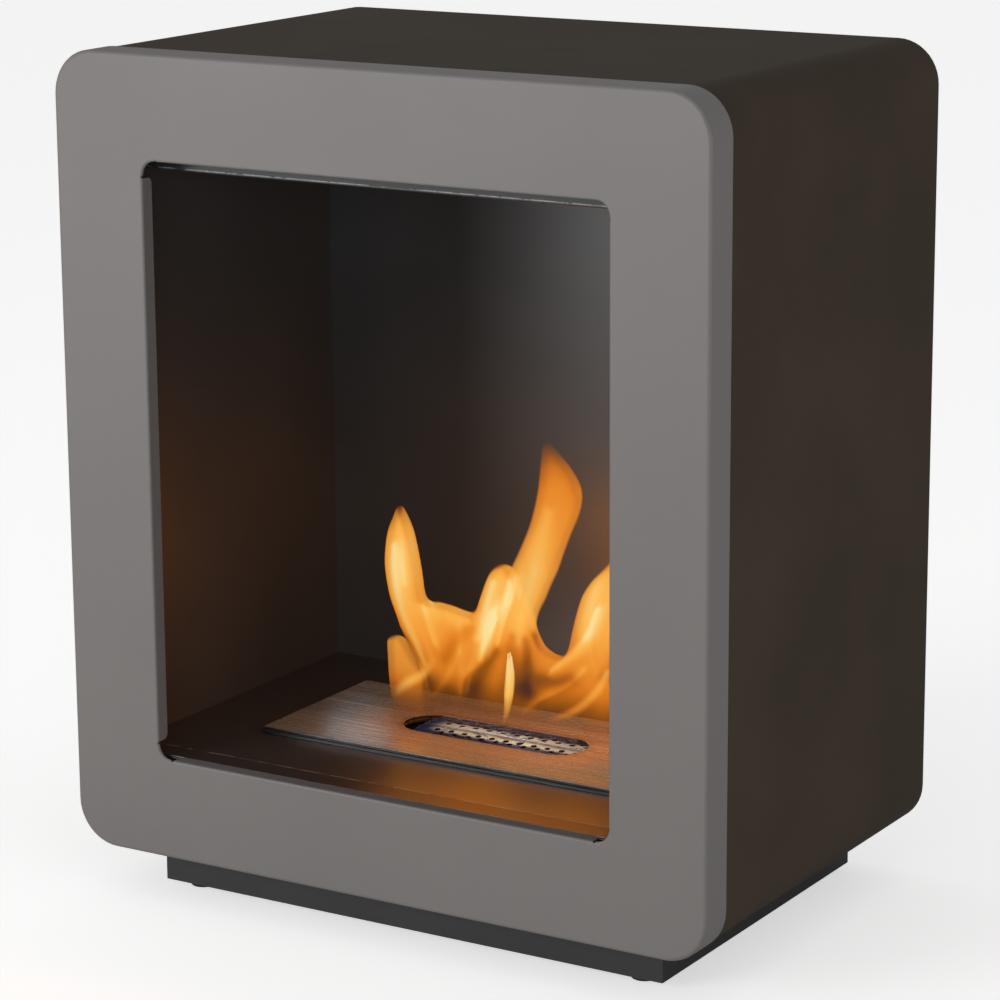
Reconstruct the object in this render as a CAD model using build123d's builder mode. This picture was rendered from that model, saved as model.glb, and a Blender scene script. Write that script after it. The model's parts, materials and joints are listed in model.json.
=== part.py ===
import os

from build123d import *

os.makedirs("parts", exist_ok=True)

# A free-standing bioethanol fireplace, in millimetres. X runs to the right as seen from the front, Y to the
# back and Z up. The origin is on the floor, under the middle of the body.

# Outside of the body
body_width = 560.0              # fascia, side to side
fascia_height = 625.0           # fascia, bottom to top
body_depth = 365.0              # fascia face to the casing's rear edge
corner_radius = 35.0            # the fascia's outer corners, seen from the front

# Fascia: a folded tray whose window edges turn back into the opening
fascia_sheet = 2.0
fascia_depth = 30.0             # how far the rim turns back
fascia_edge_radius = 3.0        # bend between face and rim
window_border = 80.0            # face left on each side of the window
window_corner_radius = 11.0
window_edge_radius = 1.8        # bend between face and window flange
window_flange_depth = 12.0
flange_end_radius = 5.0
bend_relief_radius = 1.2        # round relief at each end of a window flange

# Casing sleeve behind the fascia
shadow_gap = 2.0                # dark joint between fascia rim and casing
casing_inset = 1.0              # casing stands this far inside the fascia's outline
casing_sheet = 2.0
casing_edge_radius = 0.8
rear_lip_width = 14.0           # inward lip that carries the rear panel
rear_recess = 3.0               # lip's outer face to the casing's rear edge
rear_panel_sheet = 1.5
vent_length = 46.0
vent_height = 6.0
vent_pitch_x = 62.0
vent_pitch_z = 16.0
vent_columns = 6
vent_rows = 3
vent_edge_distance = 90.0       # vent block's middle to the casing's top or bottom

# Inner frame that closes the casing's mouth and carries fascia and firebox
frame_sheet = 2.0
frame_rim_depth = 12.0
sill_gap = 1.0                  # window flange to the sill bent forward from the frame

# Firebox, built from five folded trays
firebox_side_gap = 33.0         # firebox's clear width in from the body's sides
firebox_rear_gap = 47.0         # firebox's back ahead of the casing's rear edge
firebox_sheet = 1.5
firebox_rim = 9.0               # outward rims of the trays
floor_drop = 0.5                # floor below the window's lower edge
ceiling_drop = 11.5             # ceiling below the window's upper edge
ceiling_reveal = 2.0            # ceiling's front bend shows this far below the frame
ceiling_bend_radius = 1.2

# Bearers under the firebox floor and shield over its ceiling
bearer_end_inset = 47.0         # bearer's ends in from the firebox's sides
bearer_width = 25.0
bearer_sheet = 2.0
bearer_front_offset = 32.0      # inner frame to the front bearer
bearer_rear_offset = 43.0       # firebox back to the rear bearer
shield_side_inset = 12.0        # shield in from the firebox's sides
shield_end_inset = 22.0         # shield in from the firebox's front and back
shield_sheet = 1.0
shield_rim = 10.0
shield_height = 38.0            # air gap between ceiling and shield
shield_spacer_radius = 6.0
shield_spacer_inset = 28.0      # spacer axis in from the shield's edges
shield_screw_radius = 2.0
shield_screw_head_radius = 4.0
shield_screw_head_height = 2.2

# Plinth and levelling feet
foot_reveal = 5.0               # floor to the plinth's lower edge
plinth_height = 35.0
plinth_side_setback = 56.0
plinth_front_setback = 38.0
plinth_rear_setback = 20.0
plinth_sheet = 2.0
plinth_flange = 20.0            # inward flange screwed to the casing
bracket_size = 46.0
bracket_sheet = 3.0
bracket_lift = 4.5              # bracket above the plinth's lower edge
foot_inset_x = 24.0             # foot axis in from the plinth's side face
foot_inset_y = 16.0             # foot axis in from its front or rear face
foot_pad_radius = 10.0
foot_pad_height = 7.0
foot_pad_edge_radius = 2.5
foot_socket_depth = 4.0
foot_stud_radius = 4.0
foot_stud_top_gap = 6.0         # stud end below the casing's underside
foot_nut_flats = 13.0
foot_nut_height = 6.5
thread_clearance = 0.05         # radial, stud in nut
hole_clearance = 0.4            # radial, fastener in a plain hole

# Burner that drops into the floor
burner_length = 340.0
burner_width = 148.0
burner_mid_y = -11.0            # burner's middle from the body's middle
burner_top_sheet = 2.0
burner_under_sheet = 2.0
burner_corner_radius = 2.0
burner_edge_radius = 0.5
slot_length = 162.0
slot_width = 46.0
seat_gap = 0.2                  # burner above the floor that it rests on
spacer_disc_radius = 5.0
spacer_disc_inset = 16.0

# Perforated baffle clamped between the two burner plates
baffle_sheet = 1.0
baffle_flange = 8.0
baffle_rise = 1.4               # ridge above the flanges
baffle_seam_width = 1.4
baffle_seam_height = 0.5
baffle_left_gap = 16.0          # open end of the slot, where the tool reaches the slide
baffle_lip = 2.0                # turned-down left end
hole_radius = 2.5
hole_pitch = 12.6
inner_row_offset = 8.4          # rows beside the ridge
outer_row_offset = 13.4         # staggered rows further out
inner_row_count = 11
outer_row_count = 10
first_hole_inset = 33.0         # slot's left end to the first inner hole

# Regulator slide under the plates, and its rails
slide_sheet = 1.5
slide_overlap = 4.0             # slide past each end of the slot
slide_side_gap = 0.3
slide_top_gap = 0.7
slide_bottom_gap = 0.3
slide_travel = 6.3              # to the left, half a pitch, closes the holes
slide_end_gap = 0.3             # slide to the stop at either end of its travel
tool_hole_radius = 1.8
tool_hole_gap = 3.3             # baffle's left end to the tool hole's axis
rail_sheet = 1.2
rail_ledge = 3.6
rail_width = 5.0
rail_side_gap = 1.2             # slot edge to the rail's upright

# Fuel tank and its fastening
tank_length = 290.0
tank_width = 100.0
tank_height = 60.0
tank_sheet = 1.2
tank_flange = 10.0
tank_corner_radius = 14.0
cutout_gap = 3.0                # floor cut-out round the tank's flange
wick_height = 44.0
wick_gap = 0.3
tank_stud_radius = 2.0
tank_stud_length = 10.0
tank_nut_flats = 7.0
tank_nut_height = 3.2

# Small fasteners
fascia_stud_radius = 2.5
fascia_stud_inset = 18.0        # stud axis in from the fascia's side
fascia_stud_end_inset = 60.0    # outer stud axes in from its bottom and top
fascia_stud_tail = 8.0          # thread behind the inner frame
fascia_spacer_radius = 5.0
fascia_nut_flats = 8.0
fascia_nut_height = 4.0
screw_radius = 2.0
screw_head_radius = 3.6
screw_head_height = 1.3
screw_length = 8.0
plinth_screw_radius = 2.5
plinth_screw_head_radius = 4.5
plinth_screw_head_height = 3.0
plinth_screw_side_inset = 74.0  # outer screw axes in from the plinth's sides
plinth_screw_inset = 13.0       # screw axis in from the plinth's front or rear face
plinth_nut_flats = 8.0
plinth_nut_height = 4.0
rivet_radius = 1.6
rivet_head_radius = 3.2
rivet_head_height = 0.9
rivet_end_inset = 32.5          # outer rivets in from the window's lower and upper edge
fit_gap = 0.3                   # between a plate and the sleeve it drops into

# Levels and planes worked out from the sizes above
front_y = -body_depth / 2
back_y = body_depth / 2
casing_bottom_z = foot_reveal + plinth_height
casing_width = body_width - 2 * casing_inset
casing_height = fascia_height - 2 * casing_inset
casing_radius = corner_radius - casing_inset
fascia_bottom_z = casing_bottom_z - casing_inset
body_mid_z = fascia_bottom_z + fascia_height / 2
mouth_width = casing_width - 2 * casing_sheet
mouth_height = casing_height - 2 * casing_sheet
mouth_radius = casing_radius - casing_sheet
window_width = body_width - 2 * window_border
window_height = fascia_height - 2 * window_border
fascia_inner_y = front_y + fascia_sheet
casing_front_y = front_y + fascia_depth + shadow_gap
frame_back_y = casing_front_y + frame_sheet
rear_lip_y = back_y - rear_recess
firebox_back_y = back_y - firebox_rear_gap
firebox_depth = firebox_back_y - frame_back_y
floor_z = body_mid_z - window_height / 2 - floor_drop
floor_under_z = floor_z - firebox_sheet
ceiling_z = body_mid_z + window_height / 2 - ceiling_drop
ceiling_top_z = ceiling_z + firebox_sheet
firebox_width = body_width - 2 * firebox_side_gap
half_firebox = firebox_width / 2
casing_floor_z = casing_bottom_z + casing_sheet
under_plate_z = floor_z + seat_gap
baffle_z = under_plate_z + burner_under_sheet
top_plate_z = baffle_z + baffle_sheet
slot_left_x = -slot_length / 2
first_hole_x = slot_left_x + first_hole_inset
tank_flange_length = tank_length + 2 * tank_flange
tank_flange_width = tank_width + 2 * tank_flange
plinth_width = body_width - 2 * plinth_side_setback
plinth_front_y = front_y + plinth_front_setback
plinth_back_y = back_y - plinth_rear_setback
plinth_depth = plinth_back_y - plinth_front_y
plinth_mid_y = (plinth_front_y + plinth_back_y) / 2


# A plane parallel to the fascia at depth y, centred on the body's height, facing the front
def face_plane(y):
    return Plane(origin=(0, y, body_mid_z), x_dir=(1, 0, 0), z_dir=(0, -1, 0))


# A box between its lowest and its highest corner
def block(low, high, mode=Mode.ADD):
    size = [b - a for a, b in zip(low, high)]
    middle = tuple((a + b) / 2 for a, b in zip(low, high))
    with Locations(middle):
        Box(*size, mode=mode)


# ---- Fascia ----
with BuildPart() as front_fascia:
    with BuildSketch(face_plane(front_y)):
        RectangleRounded(body_width, fascia_height, corner_radius)
    extrude(amount=-fascia_depth)
    fillet(front_fascia.edges().group_by(Axis.Y)[0], fascia_edge_radius)
    with BuildSketch(face_plane(fascia_inner_y)):
        RectangleRounded(body_width - 2 * fascia_sheet, fascia_height - 2 * fascia_sheet,
                         corner_radius - fascia_sheet)
    extrude(amount=-fascia_depth, mode=Mode.SUBTRACT)
    with BuildSketch(face_plane(front_y)):
        RectangleRounded(window_width, window_height, window_corner_radius)
    extrude(amount=-fascia_sheet, mode=Mode.SUBTRACT)
    flange_end = window_corner_radius + 2 * bend_relief_radius
    for outward, reach, run in (
        (Vector(-1, 0, 0), window_width / 2, window_height),
        (Vector(1, 0, 0), window_width / 2, window_height),
        (Vector(0, 0, -1), window_height / 2, window_width),
        (Vector(0, 0, 1), window_height / 2, window_width),
    ):
        edge_middle = Vector(0, front_y, body_mid_z) + outward * reach
        edge_plane = Plane(origin=edge_middle, x_dir=Vector(0, 1, 0).cross(outward), z_dir=outward)
        with BuildSketch(edge_plane) as flange:
            with Locations((0, window_flange_depth / 2)):
                Rectangle(run - 2 * flange_end, window_flange_depth)
            fillet(flange.vertices().group_by(Axis.Y)[-1], flange_end_radius)
        extrude(amount=fascia_sheet)
    window_edges = (
        front_fascia.edges()
        .group_by(Axis.Y)[0]
        .filter_by(lambda e: abs(e.center().X) < window_width / 2 + 1)
        .filter_by(lambda e: abs(e.center().Z - body_mid_z) < window_height / 2 + 1)
    )
    fillet(window_edges, window_edge_radius)
    relief_x = window_width / 2 - window_corner_radius - bend_relief_radius
    relief_z = window_height / 2 - window_corner_radius - bend_relief_radius
    with BuildSketch(face_plane(front_y)):
        with GridLocations(2 * relief_x, window_height, 2, 2):
            Circle(bend_relief_radius)
        with GridLocations(window_width, 2 * relief_z, 2, 2):
            Circle(bend_relief_radius)
    extrude(amount=-fascia_sheet, mode=Mode.SUBTRACT)
front_fascia.part.label = "front_fascia"
export_step(front_fascia.part, "parts/front_fascia.step")

# ---- Casing sleeve with its rear lip ----
lip_middle_x = mouth_width / 2 - rear_lip_width / 2
lip_middle_z = mouth_height / 2 - rear_lip_width / 2
lip_points = [(side * lip_middle_x, up * lip_middle_z / 2) for side in (-1, 1) for up in (-1, 1)]
lip_points += [(side * lip_middle_x / 2, up * lip_middle_z) for side in (-1, 1) for up in (-1, 1)]
plinth_screw_x = plinth_width / 2 - plinth_screw_side_inset
plinth_screw_points = [
    (x, y)
    for x in (-plinth_screw_x, 0, plinth_screw_x)
    for y in (plinth_front_y + plinth_screw_inset, plinth_back_y - plinth_screw_inset)
]

with BuildPart() as outer_casing:
    with BuildSketch(face_plane(casing_front_y)):
        RectangleRounded(casing_width, casing_height, casing_radius)
    extrude(amount=casing_front_y - back_y)
    fillet(outer_casing.edges().group_by(Axis.Y)[0], casing_edge_radius)
    with BuildSketch(face_plane(casing_front_y)):
        RectangleRounded(mouth_width, mouth_height, mouth_radius)
    extrude(amount=casing_front_y - back_y, mode=Mode.SUBTRACT)
    with BuildSketch(face_plane(rear_lip_y)):
        RectangleRounded(mouth_width, mouth_height, mouth_radius)
        Rectangle(mouth_width - 2 * rear_lip_width, mouth_height - 2 * rear_lip_width, mode=Mode.SUBTRACT)
        with Locations(*lip_points):
            Circle(screw_radius + hole_clearance, mode=Mode.SUBTRACT)
    extrude(amount=casing_sheet)
    with BuildSketch(Plane.XY.offset(casing_bottom_z)):
        with Locations(*plinth_screw_points):
            Circle(plinth_screw_radius + hole_clearance)
    extrude(amount=casing_sheet, mode=Mode.SUBTRACT)
outer_casing.part.label = "outer_casing"
export_step(outer_casing.part, "parts/outer_casing.step")

# ---- Rear panel with three rows of vents at the top and at the bottom ----
rear_panel_y = rear_lip_y + rear_panel_sheet
vent_middle = casing_height / 2 - vent_edge_distance
with BuildPart() as rear_panel:
    with BuildSketch(face_plane(rear_panel_y)):
        RectangleRounded(mouth_width - 2 * fit_gap, mouth_height - 2 * fit_gap, mouth_radius - fit_gap)
        with Locations(*lip_points):
            Circle(screw_radius + hole_clearance, mode=Mode.SUBTRACT)
        with Locations((0, -vent_middle), (0, vent_middle)):
            with GridLocations(vent_pitch_x, vent_pitch_z, vent_columns, vent_rows):
                SlotOverall(vent_length, vent_height, mode=Mode.SUBTRACT)
    extrude(amount=rear_panel_sheet)
rear_panel.part.label = "rear_panel"
export_step(rear_panel.part, "parts/rear_panel.step")

with BuildPart() as rear_panel_screws:
    with BuildSketch(face_plane(rear_panel_y)):
        with Locations(*lip_points):
            Circle(screw_radius)
    extrude(amount=screw_length)
    with BuildSketch(face_plane(rear_panel_y)):
        with Locations(*lip_points):
            Circle(screw_head_radius)
    extrude(amount=-screw_head_height)
    fillet(rear_panel_screws.edges().group_by(Axis.Y)[-1], screw_head_height / 2)
rear_panel_screws.part.label = "rear_panel_screws"
export_step(rear_panel_screws.part, "parts/rear_panel_screws.step")

# ---- Inner front frame: a tray in the casing's mouth, open onto the firebox, with a sill up to the window ----
fascia_stud_x = body_width / 2 - fascia_stud_inset
fascia_stud_z = fascia_height / 2 - fascia_stud_end_inset
fascia_stud_points = [(side * fascia_stud_x, up * fascia_stud_z) for side in (-1, 1) for up in (-1, 0, 1)]
rim_middle_x = half_firebox + (firebox_sheet + firebox_rim) / 2
rivet_z = window_height / 2 - rivet_end_inset
rivet_points = [(side * rim_middle_x, up * rivet_z) for side in (-1, 1) for up in (-1, 0, 1)]
opening_top_z = ceiling_z + ceiling_reveal
opening_mid_z = (floor_z + opening_top_z) / 2
sill_front_y = front_y + window_flange_depth + sill_gap

with BuildPart() as inner_front_frame:
    with BuildSketch(face_plane(casing_front_y)):
        RectangleRounded(mouth_width - 2 * fit_gap, mouth_height - 2 * fit_gap, mouth_radius - fit_gap)
    extrude(amount=-frame_rim_depth)
    with BuildSketch(face_plane(frame_back_y)):
        RectangleRounded(mouth_width - 2 * (fit_gap + frame_sheet), mouth_height - 2 * (fit_gap + frame_sheet),
                         mouth_radius - fit_gap - frame_sheet)
    extrude(amount=-frame_rim_depth, mode=Mode.SUBTRACT)
    with BuildSketch(face_plane(casing_front_y)):
        with Locations((0, opening_mid_z - body_mid_z)):
            Rectangle(firebox_width, opening_top_z - floor_z)
        with Locations(*fascia_stud_points):
            Circle(fascia_stud_radius + hole_clearance)
        with Locations(*rivet_points):
            Circle(rivet_radius)
    extrude(amount=-frame_sheet, mode=Mode.SUBTRACT)
    block((-half_firebox, sill_front_y, floor_z - frame_sheet), (half_firebox, casing_front_y, floor_z))
inner_front_frame.part.label = "inner_front_frame"
export_step(inner_front_frame.part, "parts/inner_front_frame.step")

# ---- Studs, spacers and nuts that hold the fascia to the inner frame ----
with BuildPart() as fascia_studs:
    with BuildSketch(face_plane(fascia_inner_y)):
        with Locations(*fascia_stud_points):
            Circle(fascia_stud_radius)
    extrude(amount=fascia_inner_y - frame_back_y - fascia_stud_tail)
fascia_studs.part.label = "fascia_studs"
export_step(fascia_studs.part, "parts/fascia_studs.step")

with BuildPart() as fascia_spacers:
    with BuildSketch(face_plane(fascia_inner_y)):
        with Locations(*fascia_stud_points):
            Circle(fascia_spacer_radius)
            Circle(fascia_stud_radius + hole_clearance, mode=Mode.SUBTRACT)
    extrude(amount=fascia_inner_y - casing_front_y)
fascia_spacers.part.label = "fascia_spacers"
export_step(fascia_spacers.part, "parts/fascia_spacers.step")

with BuildPart() as fascia_nuts:
    with BuildSketch(face_plane(frame_back_y)):
        with Locations(*fascia_stud_points):
            RegularPolygon(fascia_nut_flats / 2, 6, major_radius=False)
            Circle(fascia_stud_radius + thread_clearance, mode=Mode.SUBTRACT)
    extrude(amount=-fascia_nut_height)
fascia_nuts.part.label = "fascia_nuts"
export_step(fascia_nuts.part, "parts/fascia_nuts.step")

# ---- Firebox: side trays between floor and ceiling, all with their rims turned outwards ----
outer_half = half_firebox + firebox_rim

for side, name in ((-1, "firebox_left_wall"), (1, "firebox_right_wall")):
    near_x = side * half_firebox
    skin_x = near_x + side * firebox_sheet
    far_x = side * outer_half
    with BuildPart() as side_wall:
        block((min(near_x, far_x), frame_back_y, floor_z), (max(near_x, far_x), firebox_back_y, ceiling_z))
        block(
            (min(skin_x, far_x), frame_back_y + firebox_sheet, floor_z + firebox_sheet),
            (max(skin_x, far_x), firebox_back_y - firebox_sheet, ceiling_z - firebox_sheet),
            mode=Mode.SUBTRACT,
        )
        with BuildSketch(face_plane(frame_back_y)):
            with Locations(*[point for point in rivet_points if point[0] * side > 0]):
                Circle(rivet_radius)
        extrude(amount=-firebox_depth, mode=Mode.SUBTRACT)
    side_wall.part.label = name
    export_step(side_wall.part, f"parts/{name}.step")

cutout_length = tank_flange_length + 2 * cutout_gap
cutout_width = tank_flange_width + 2 * cutout_gap
with BuildPart() as firebox_floor:
    block((-outer_half, frame_back_y, floor_under_z - firebox_rim), (outer_half, firebox_back_y, floor_z))
    block(
        (-outer_half + firebox_sheet, frame_back_y + firebox_sheet, floor_under_z - firebox_rim),
        (outer_half - firebox_sheet, firebox_back_y - firebox_sheet, floor_under_z),
        mode=Mode.SUBTRACT,
    )
    with BuildSketch(Plane.XY.offset(floor_under_z)):
        with Locations((0, burner_mid_y)):
            RectangleRounded(cutout_length, cutout_width, tank_flange / 2)
    extrude(amount=firebox_sheet, mode=Mode.SUBTRACT)
firebox_floor.part.label = "firebox_floor"
export_step(firebox_floor.part, "parts/firebox_floor.step")

shield_z = ceiling_top_z + shield_height
shield_mid_y = (frame_back_y + firebox_back_y) / 2
shield_width = firebox_width - 2 * shield_side_inset
shield_depth = firebox_depth - 2 * shield_end_inset
shield_spacer_grid = (shield_width - 2 * shield_spacer_inset, shield_depth - 2 * shield_spacer_inset, 2, 2)
with BuildPart() as firebox_ceiling:
    block((-outer_half, frame_back_y, ceiling_z), (outer_half, firebox_back_y, ceiling_top_z + firebox_rim))
    block(
        (-outer_half + firebox_sheet, frame_back_y + firebox_sheet, ceiling_top_z),
        (outer_half - firebox_sheet, firebox_back_y - firebox_sheet, ceiling_top_z + firebox_rim),
        mode=Mode.SUBTRACT,
    )
    front_bend = firebox_ceiling.edges().filter_by(Axis.X).group_by(Axis.Z)[0].sort_by(Axis.Y)[0]
    fillet(front_bend, ceiling_bend_radius)
    with BuildSketch(Plane.XY.offset(ceiling_z)):
        with Locations((0, shield_mid_y)):
            with GridLocations(*shield_spacer_grid):
                Circle(shield_screw_radius)
    extrude(amount=firebox_sheet, mode=Mode.SUBTRACT)
firebox_ceiling.part.label = "firebox_ceiling"
export_step(firebox_ceiling.part, "parts/firebox_ceiling.step")

with BuildPart() as firebox_back_wall:
    block(
        (-outer_half, firebox_back_y, floor_under_z - firebox_rim),
        (outer_half, firebox_back_y + firebox_sheet, ceiling_top_z + firebox_rim),
    )
    with BuildSketch(face_plane(firebox_back_y)):
        with Locations(*rivet_points):
            Circle(rivet_radius)
    extrude(amount=-firebox_sheet, mode=Mode.SUBTRACT)
firebox_back_wall.part.label = "firebox_back_wall"
export_step(firebox_back_wall.part, "parts/firebox_back_wall.step")

# Blind rivets: the front ones join frame and side trays, the rear ones side trays and back wall
with BuildPart() as firebox_rivets:
    for first_y, last_y in (
        (casing_front_y, frame_back_y + firebox_sheet),
        (firebox_back_y - firebox_sheet, firebox_back_y + firebox_sheet),
    ):
        with BuildSketch(face_plane(first_y)):
            with Locations(*rivet_points):
                Circle(rivet_radius)
        extrude(amount=first_y - last_y)
        with BuildSketch(face_plane(first_y)):
            with Locations(*rivet_points):
                Circle(rivet_head_radius)
        extrude(amount=rivet_head_height)
        with BuildSketch(face_plane(last_y)):
            with Locations(*rivet_points):
                Circle(rivet_head_radius)
        extrude(amount=-rivet_head_height)
firebox_rivets.part.label = "firebox_rivets"
export_step(firebox_rivets.part, "parts/firebox_rivets.step")

# ---- Channel bearers between the casing's bottom and the firebox floor ----
front_bearer_y = frame_back_y + bearer_front_offset
rear_bearer_y = firebox_back_y - bearer_rear_offset - bearer_width
bearer_half_length = half_firebox - bearer_end_inset
for start_y, name in ((front_bearer_y, "floor_bearer_front"), (rear_bearer_y, "floor_bearer_rear")):
    with BuildPart() as bearer:
        block(
            (-bearer_half_length, start_y, casing_floor_z),
            (bearer_half_length, start_y + bearer_width, floor_under_z),
        )
        block(
            (-bearer_half_length, start_y + bearer_sheet, casing_floor_z + bearer_sheet),
            (bearer_half_length, start_y + bearer_width, floor_under_z - bearer_sheet),
            mode=Mode.SUBTRACT,
        )
    bearer.part.label = name
    export_step(bearer.part, f"parts/{name}.step")

# ---- Heat shield on four spacers over the ceiling ----
with BuildPart() as top_heat_shield:
    with BuildSketch(Plane.XY.offset(shield_z)):
        with Locations((0, shield_mid_y)):
            Rectangle(shield_width, shield_depth)
    extrude(amount=shield_rim)
    with BuildSketch(Plane.XY.offset(shield_z + shield_sheet)):
        with Locations((0, shield_mid_y)):
            Rectangle(shield_width - 2 * shield_sheet, shield_depth - 2 * shield_sheet)
    extrude(amount=shield_rim, mode=Mode.SUBTRACT)
    with BuildSketch(Plane.XY.offset(shield_z)):
        with Locations((0, shield_mid_y)):
            with GridLocations(*shield_spacer_grid):
                Circle(shield_screw_radius + hole_clearance)
    extrude(amount=shield_sheet, mode=Mode.SUBTRACT)
top_heat_shield.part.label = "top_heat_shield"
export_step(top_heat_shield.part, "parts/top_heat_shield.step")

with BuildPart() as heat_shield_spacers:
    with BuildSketch(Plane.XY.offset(ceiling_top_z)):
        with Locations((0, shield_mid_y)):
            with GridLocations(*shield_spacer_grid):
                Circle(shield_spacer_radius)
                Circle(shield_screw_radius + hole_clearance, mode=Mode.SUBTRACT)
    extrude(amount=shield_height)
heat_shield_spacers.part.label = "heat_shield_spacers"
export_step(heat_shield_spacers.part, "parts/heat_shield_spacers.step")

# Screws from the shield down through the spacers, threaded into the ceiling
with BuildPart() as heat_shield_screws:
    with BuildSketch(Plane.XY.offset(ceiling_z)):
        with Locations((0, shield_mid_y)):
            with GridLocations(*shield_spacer_grid):
                Circle(shield_screw_radius)
    extrude(amount=shield_z + shield_sheet - ceiling_z)
    with BuildSketch(Plane.XY.offset(shield_z + shield_sheet)):
        with Locations((0, shield_mid_y)):
            with GridLocations(*shield_spacer_grid):
                Circle(shield_screw_head_radius)
    extrude(amount=shield_screw_head_height)
    fillet(heat_shield_screws.edges().group_by(Axis.Z)[-1], shield_screw_head_height / 2)
heat_shield_screws.part.label = "heat_shield_screws"
export_step(heat_shield_screws.part, "parts/heat_shield_screws.step")

# ---- Plinth: an open frame with an inward top flange ----
with BuildPart() as plinth_frame:
    with BuildSketch(Plane.XY.offset(foot_reveal)):
        with Locations((0, plinth_mid_y)):
            Rectangle(plinth_width, plinth_depth)
            Rectangle(plinth_width - 2 * plinth_sheet, plinth_depth - 2 * plinth_sheet, mode=Mode.SUBTRACT)
    extrude(amount=plinth_height)
    with BuildSketch(Plane.XY.offset(casing_bottom_z)):
        with Locations((0, plinth_mid_y)):
            Rectangle(plinth_width - plinth_sheet, plinth_depth - plinth_sheet)
            Rectangle(plinth_width - 2 * plinth_flange, plinth_depth - 2 * plinth_flange, mode=Mode.SUBTRACT)
        with Locations(*plinth_screw_points):
            Circle(plinth_screw_radius + hole_clearance, mode=Mode.SUBTRACT)
    extrude(amount=-plinth_sheet)
plinth_frame.part.label = "plinth_frame"
export_step(plinth_frame.part, "parts/plinth_frame.step")

with BuildPart() as plinth_screws:
    with BuildSketch(Plane.XY.offset(casing_bottom_z - plinth_sheet)):
        with Locations(*plinth_screw_points):
            Circle(plinth_screw_radius)
    extrude(amount=plinth_sheet + casing_sheet + 1.5 * plinth_nut_height)
    with BuildSketch(Plane.XY.offset(casing_bottom_z - plinth_sheet)):
        with Locations(*plinth_screw_points):
            Circle(plinth_screw_head_radius)
    extrude(amount=-plinth_screw_head_height)
plinth_screws.part.label = "plinth_screws"
export_step(plinth_screws.part, "parts/plinth_screws.step")

with BuildPart() as plinth_nuts:
    with BuildSketch(Plane.XY.offset(casing_floor_z)):
        with Locations(*plinth_screw_points):
            RegularPolygon(plinth_nut_flats / 2, 6, major_radius=False)
            Circle(plinth_screw_radius + thread_clearance, mode=Mode.SUBTRACT)
    extrude(amount=plinth_nut_height)
plinth_nuts.part.label = "plinth_nuts"
export_step(plinth_nuts.part, "parts/plinth_nuts.step")

# ---- Levelling feet in corner brackets ----
foot_spread_x = plinth_width - 2 * foot_inset_x
foot_spread_y = plinth_depth - 2 * foot_inset_y
bracket_z = foot_reveal + bracket_lift
bracket_top_z = bracket_z + bracket_sheet
bracket_spread_x = plinth_width - 2 * plinth_sheet - bracket_size
bracket_spread_y = plinth_depth - 2 * plinth_sheet - bracket_size
with BuildPart() as foot_brackets:
    with BuildSketch(Plane.XY.offset(bracket_z)):
        with Locations((0, plinth_mid_y)):
            with GridLocations(bracket_spread_x, bracket_spread_y, 2, 2):
                Rectangle(bracket_size, bracket_size)
            with GridLocations(foot_spread_x, foot_spread_y, 2, 2):
                Circle(foot_stud_radius + hole_clearance, mode=Mode.SUBTRACT)
    extrude(amount=bracket_sheet)
foot_brackets.part.label = "foot_brackets"
export_step(foot_brackets.part, "parts/foot_brackets.step")

with BuildPart() as foot_nuts:
    with BuildSketch(Plane.XY.offset(bracket_top_z)):
        with Locations((0, plinth_mid_y)):
            with GridLocations(foot_spread_x, foot_spread_y, 2, 2):
                RegularPolygon(foot_nut_flats / 2, 6, major_radius=False)
                Circle(foot_stud_radius + thread_clearance, mode=Mode.SUBTRACT)
    extrude(amount=foot_nut_height)
foot_nuts.part.label = "foot_nuts"
export_step(foot_nuts.part, "parts/foot_nuts.step")

foot_socket_z = foot_pad_height - foot_socket_depth
foot_stud_top_z = casing_bottom_z - foot_stud_top_gap
for row, row_side in (("front", -1), ("rear", 1)):
    for hand, hand_side in (("left", -1), ("right", 1)):
        foot_x = hand_side * foot_spread_x / 2
        foot_y = plinth_mid_y + row_side * foot_spread_y / 2
        with BuildPart() as foot_pad:
            with BuildSketch(Plane.XY):
                with Locations((foot_x, foot_y)):
                    Circle(foot_pad_radius)
            extrude(amount=foot_pad_height)
            fillet(foot_pad.edges().group_by(Axis.Z)[0], foot_pad_edge_radius)
            with BuildSketch(Plane.XY.offset(foot_socket_z)):
                with Locations((foot_x, foot_y)):
                    Circle(foot_stud_radius)
            extrude(amount=foot_socket_depth, mode=Mode.SUBTRACT)
        foot_pad.part.label = f"foot_pad_{row}_{hand}"
        export_step(foot_pad.part, f"parts/foot_pad_{row}_{hand}.step")

        with BuildPart() as foot_stud:
            with BuildSketch(Plane.XY.offset(foot_socket_z)):
                with Locations((foot_x, foot_y)):
                    Circle(foot_stud_radius)
            extrude(amount=foot_stud_top_z - foot_socket_z)
            chamfer(foot_stud.edges().group_by(Axis.Z)[-1], foot_stud_radius / 5)
        foot_stud.part.label = f"foot_stud_{row}_{hand}"
        export_step(foot_stud.part, f"parts/foot_stud_{row}_{hand}.step")

# ---- Burner plates with the long slot ----
stud_x = tank_length / 2 + tank_flange / 2
stud_y = tank_width / 2 + tank_flange / 2
tank_stud_points = [(side * stud_x, end * tank_width / 4) for side in (-1, 1) for end in (-1, 1)]
tank_stud_points += [(side * tank_length / 3, end * stud_y) for side in (-1, 1) for end in (-1, 1)]

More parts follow.
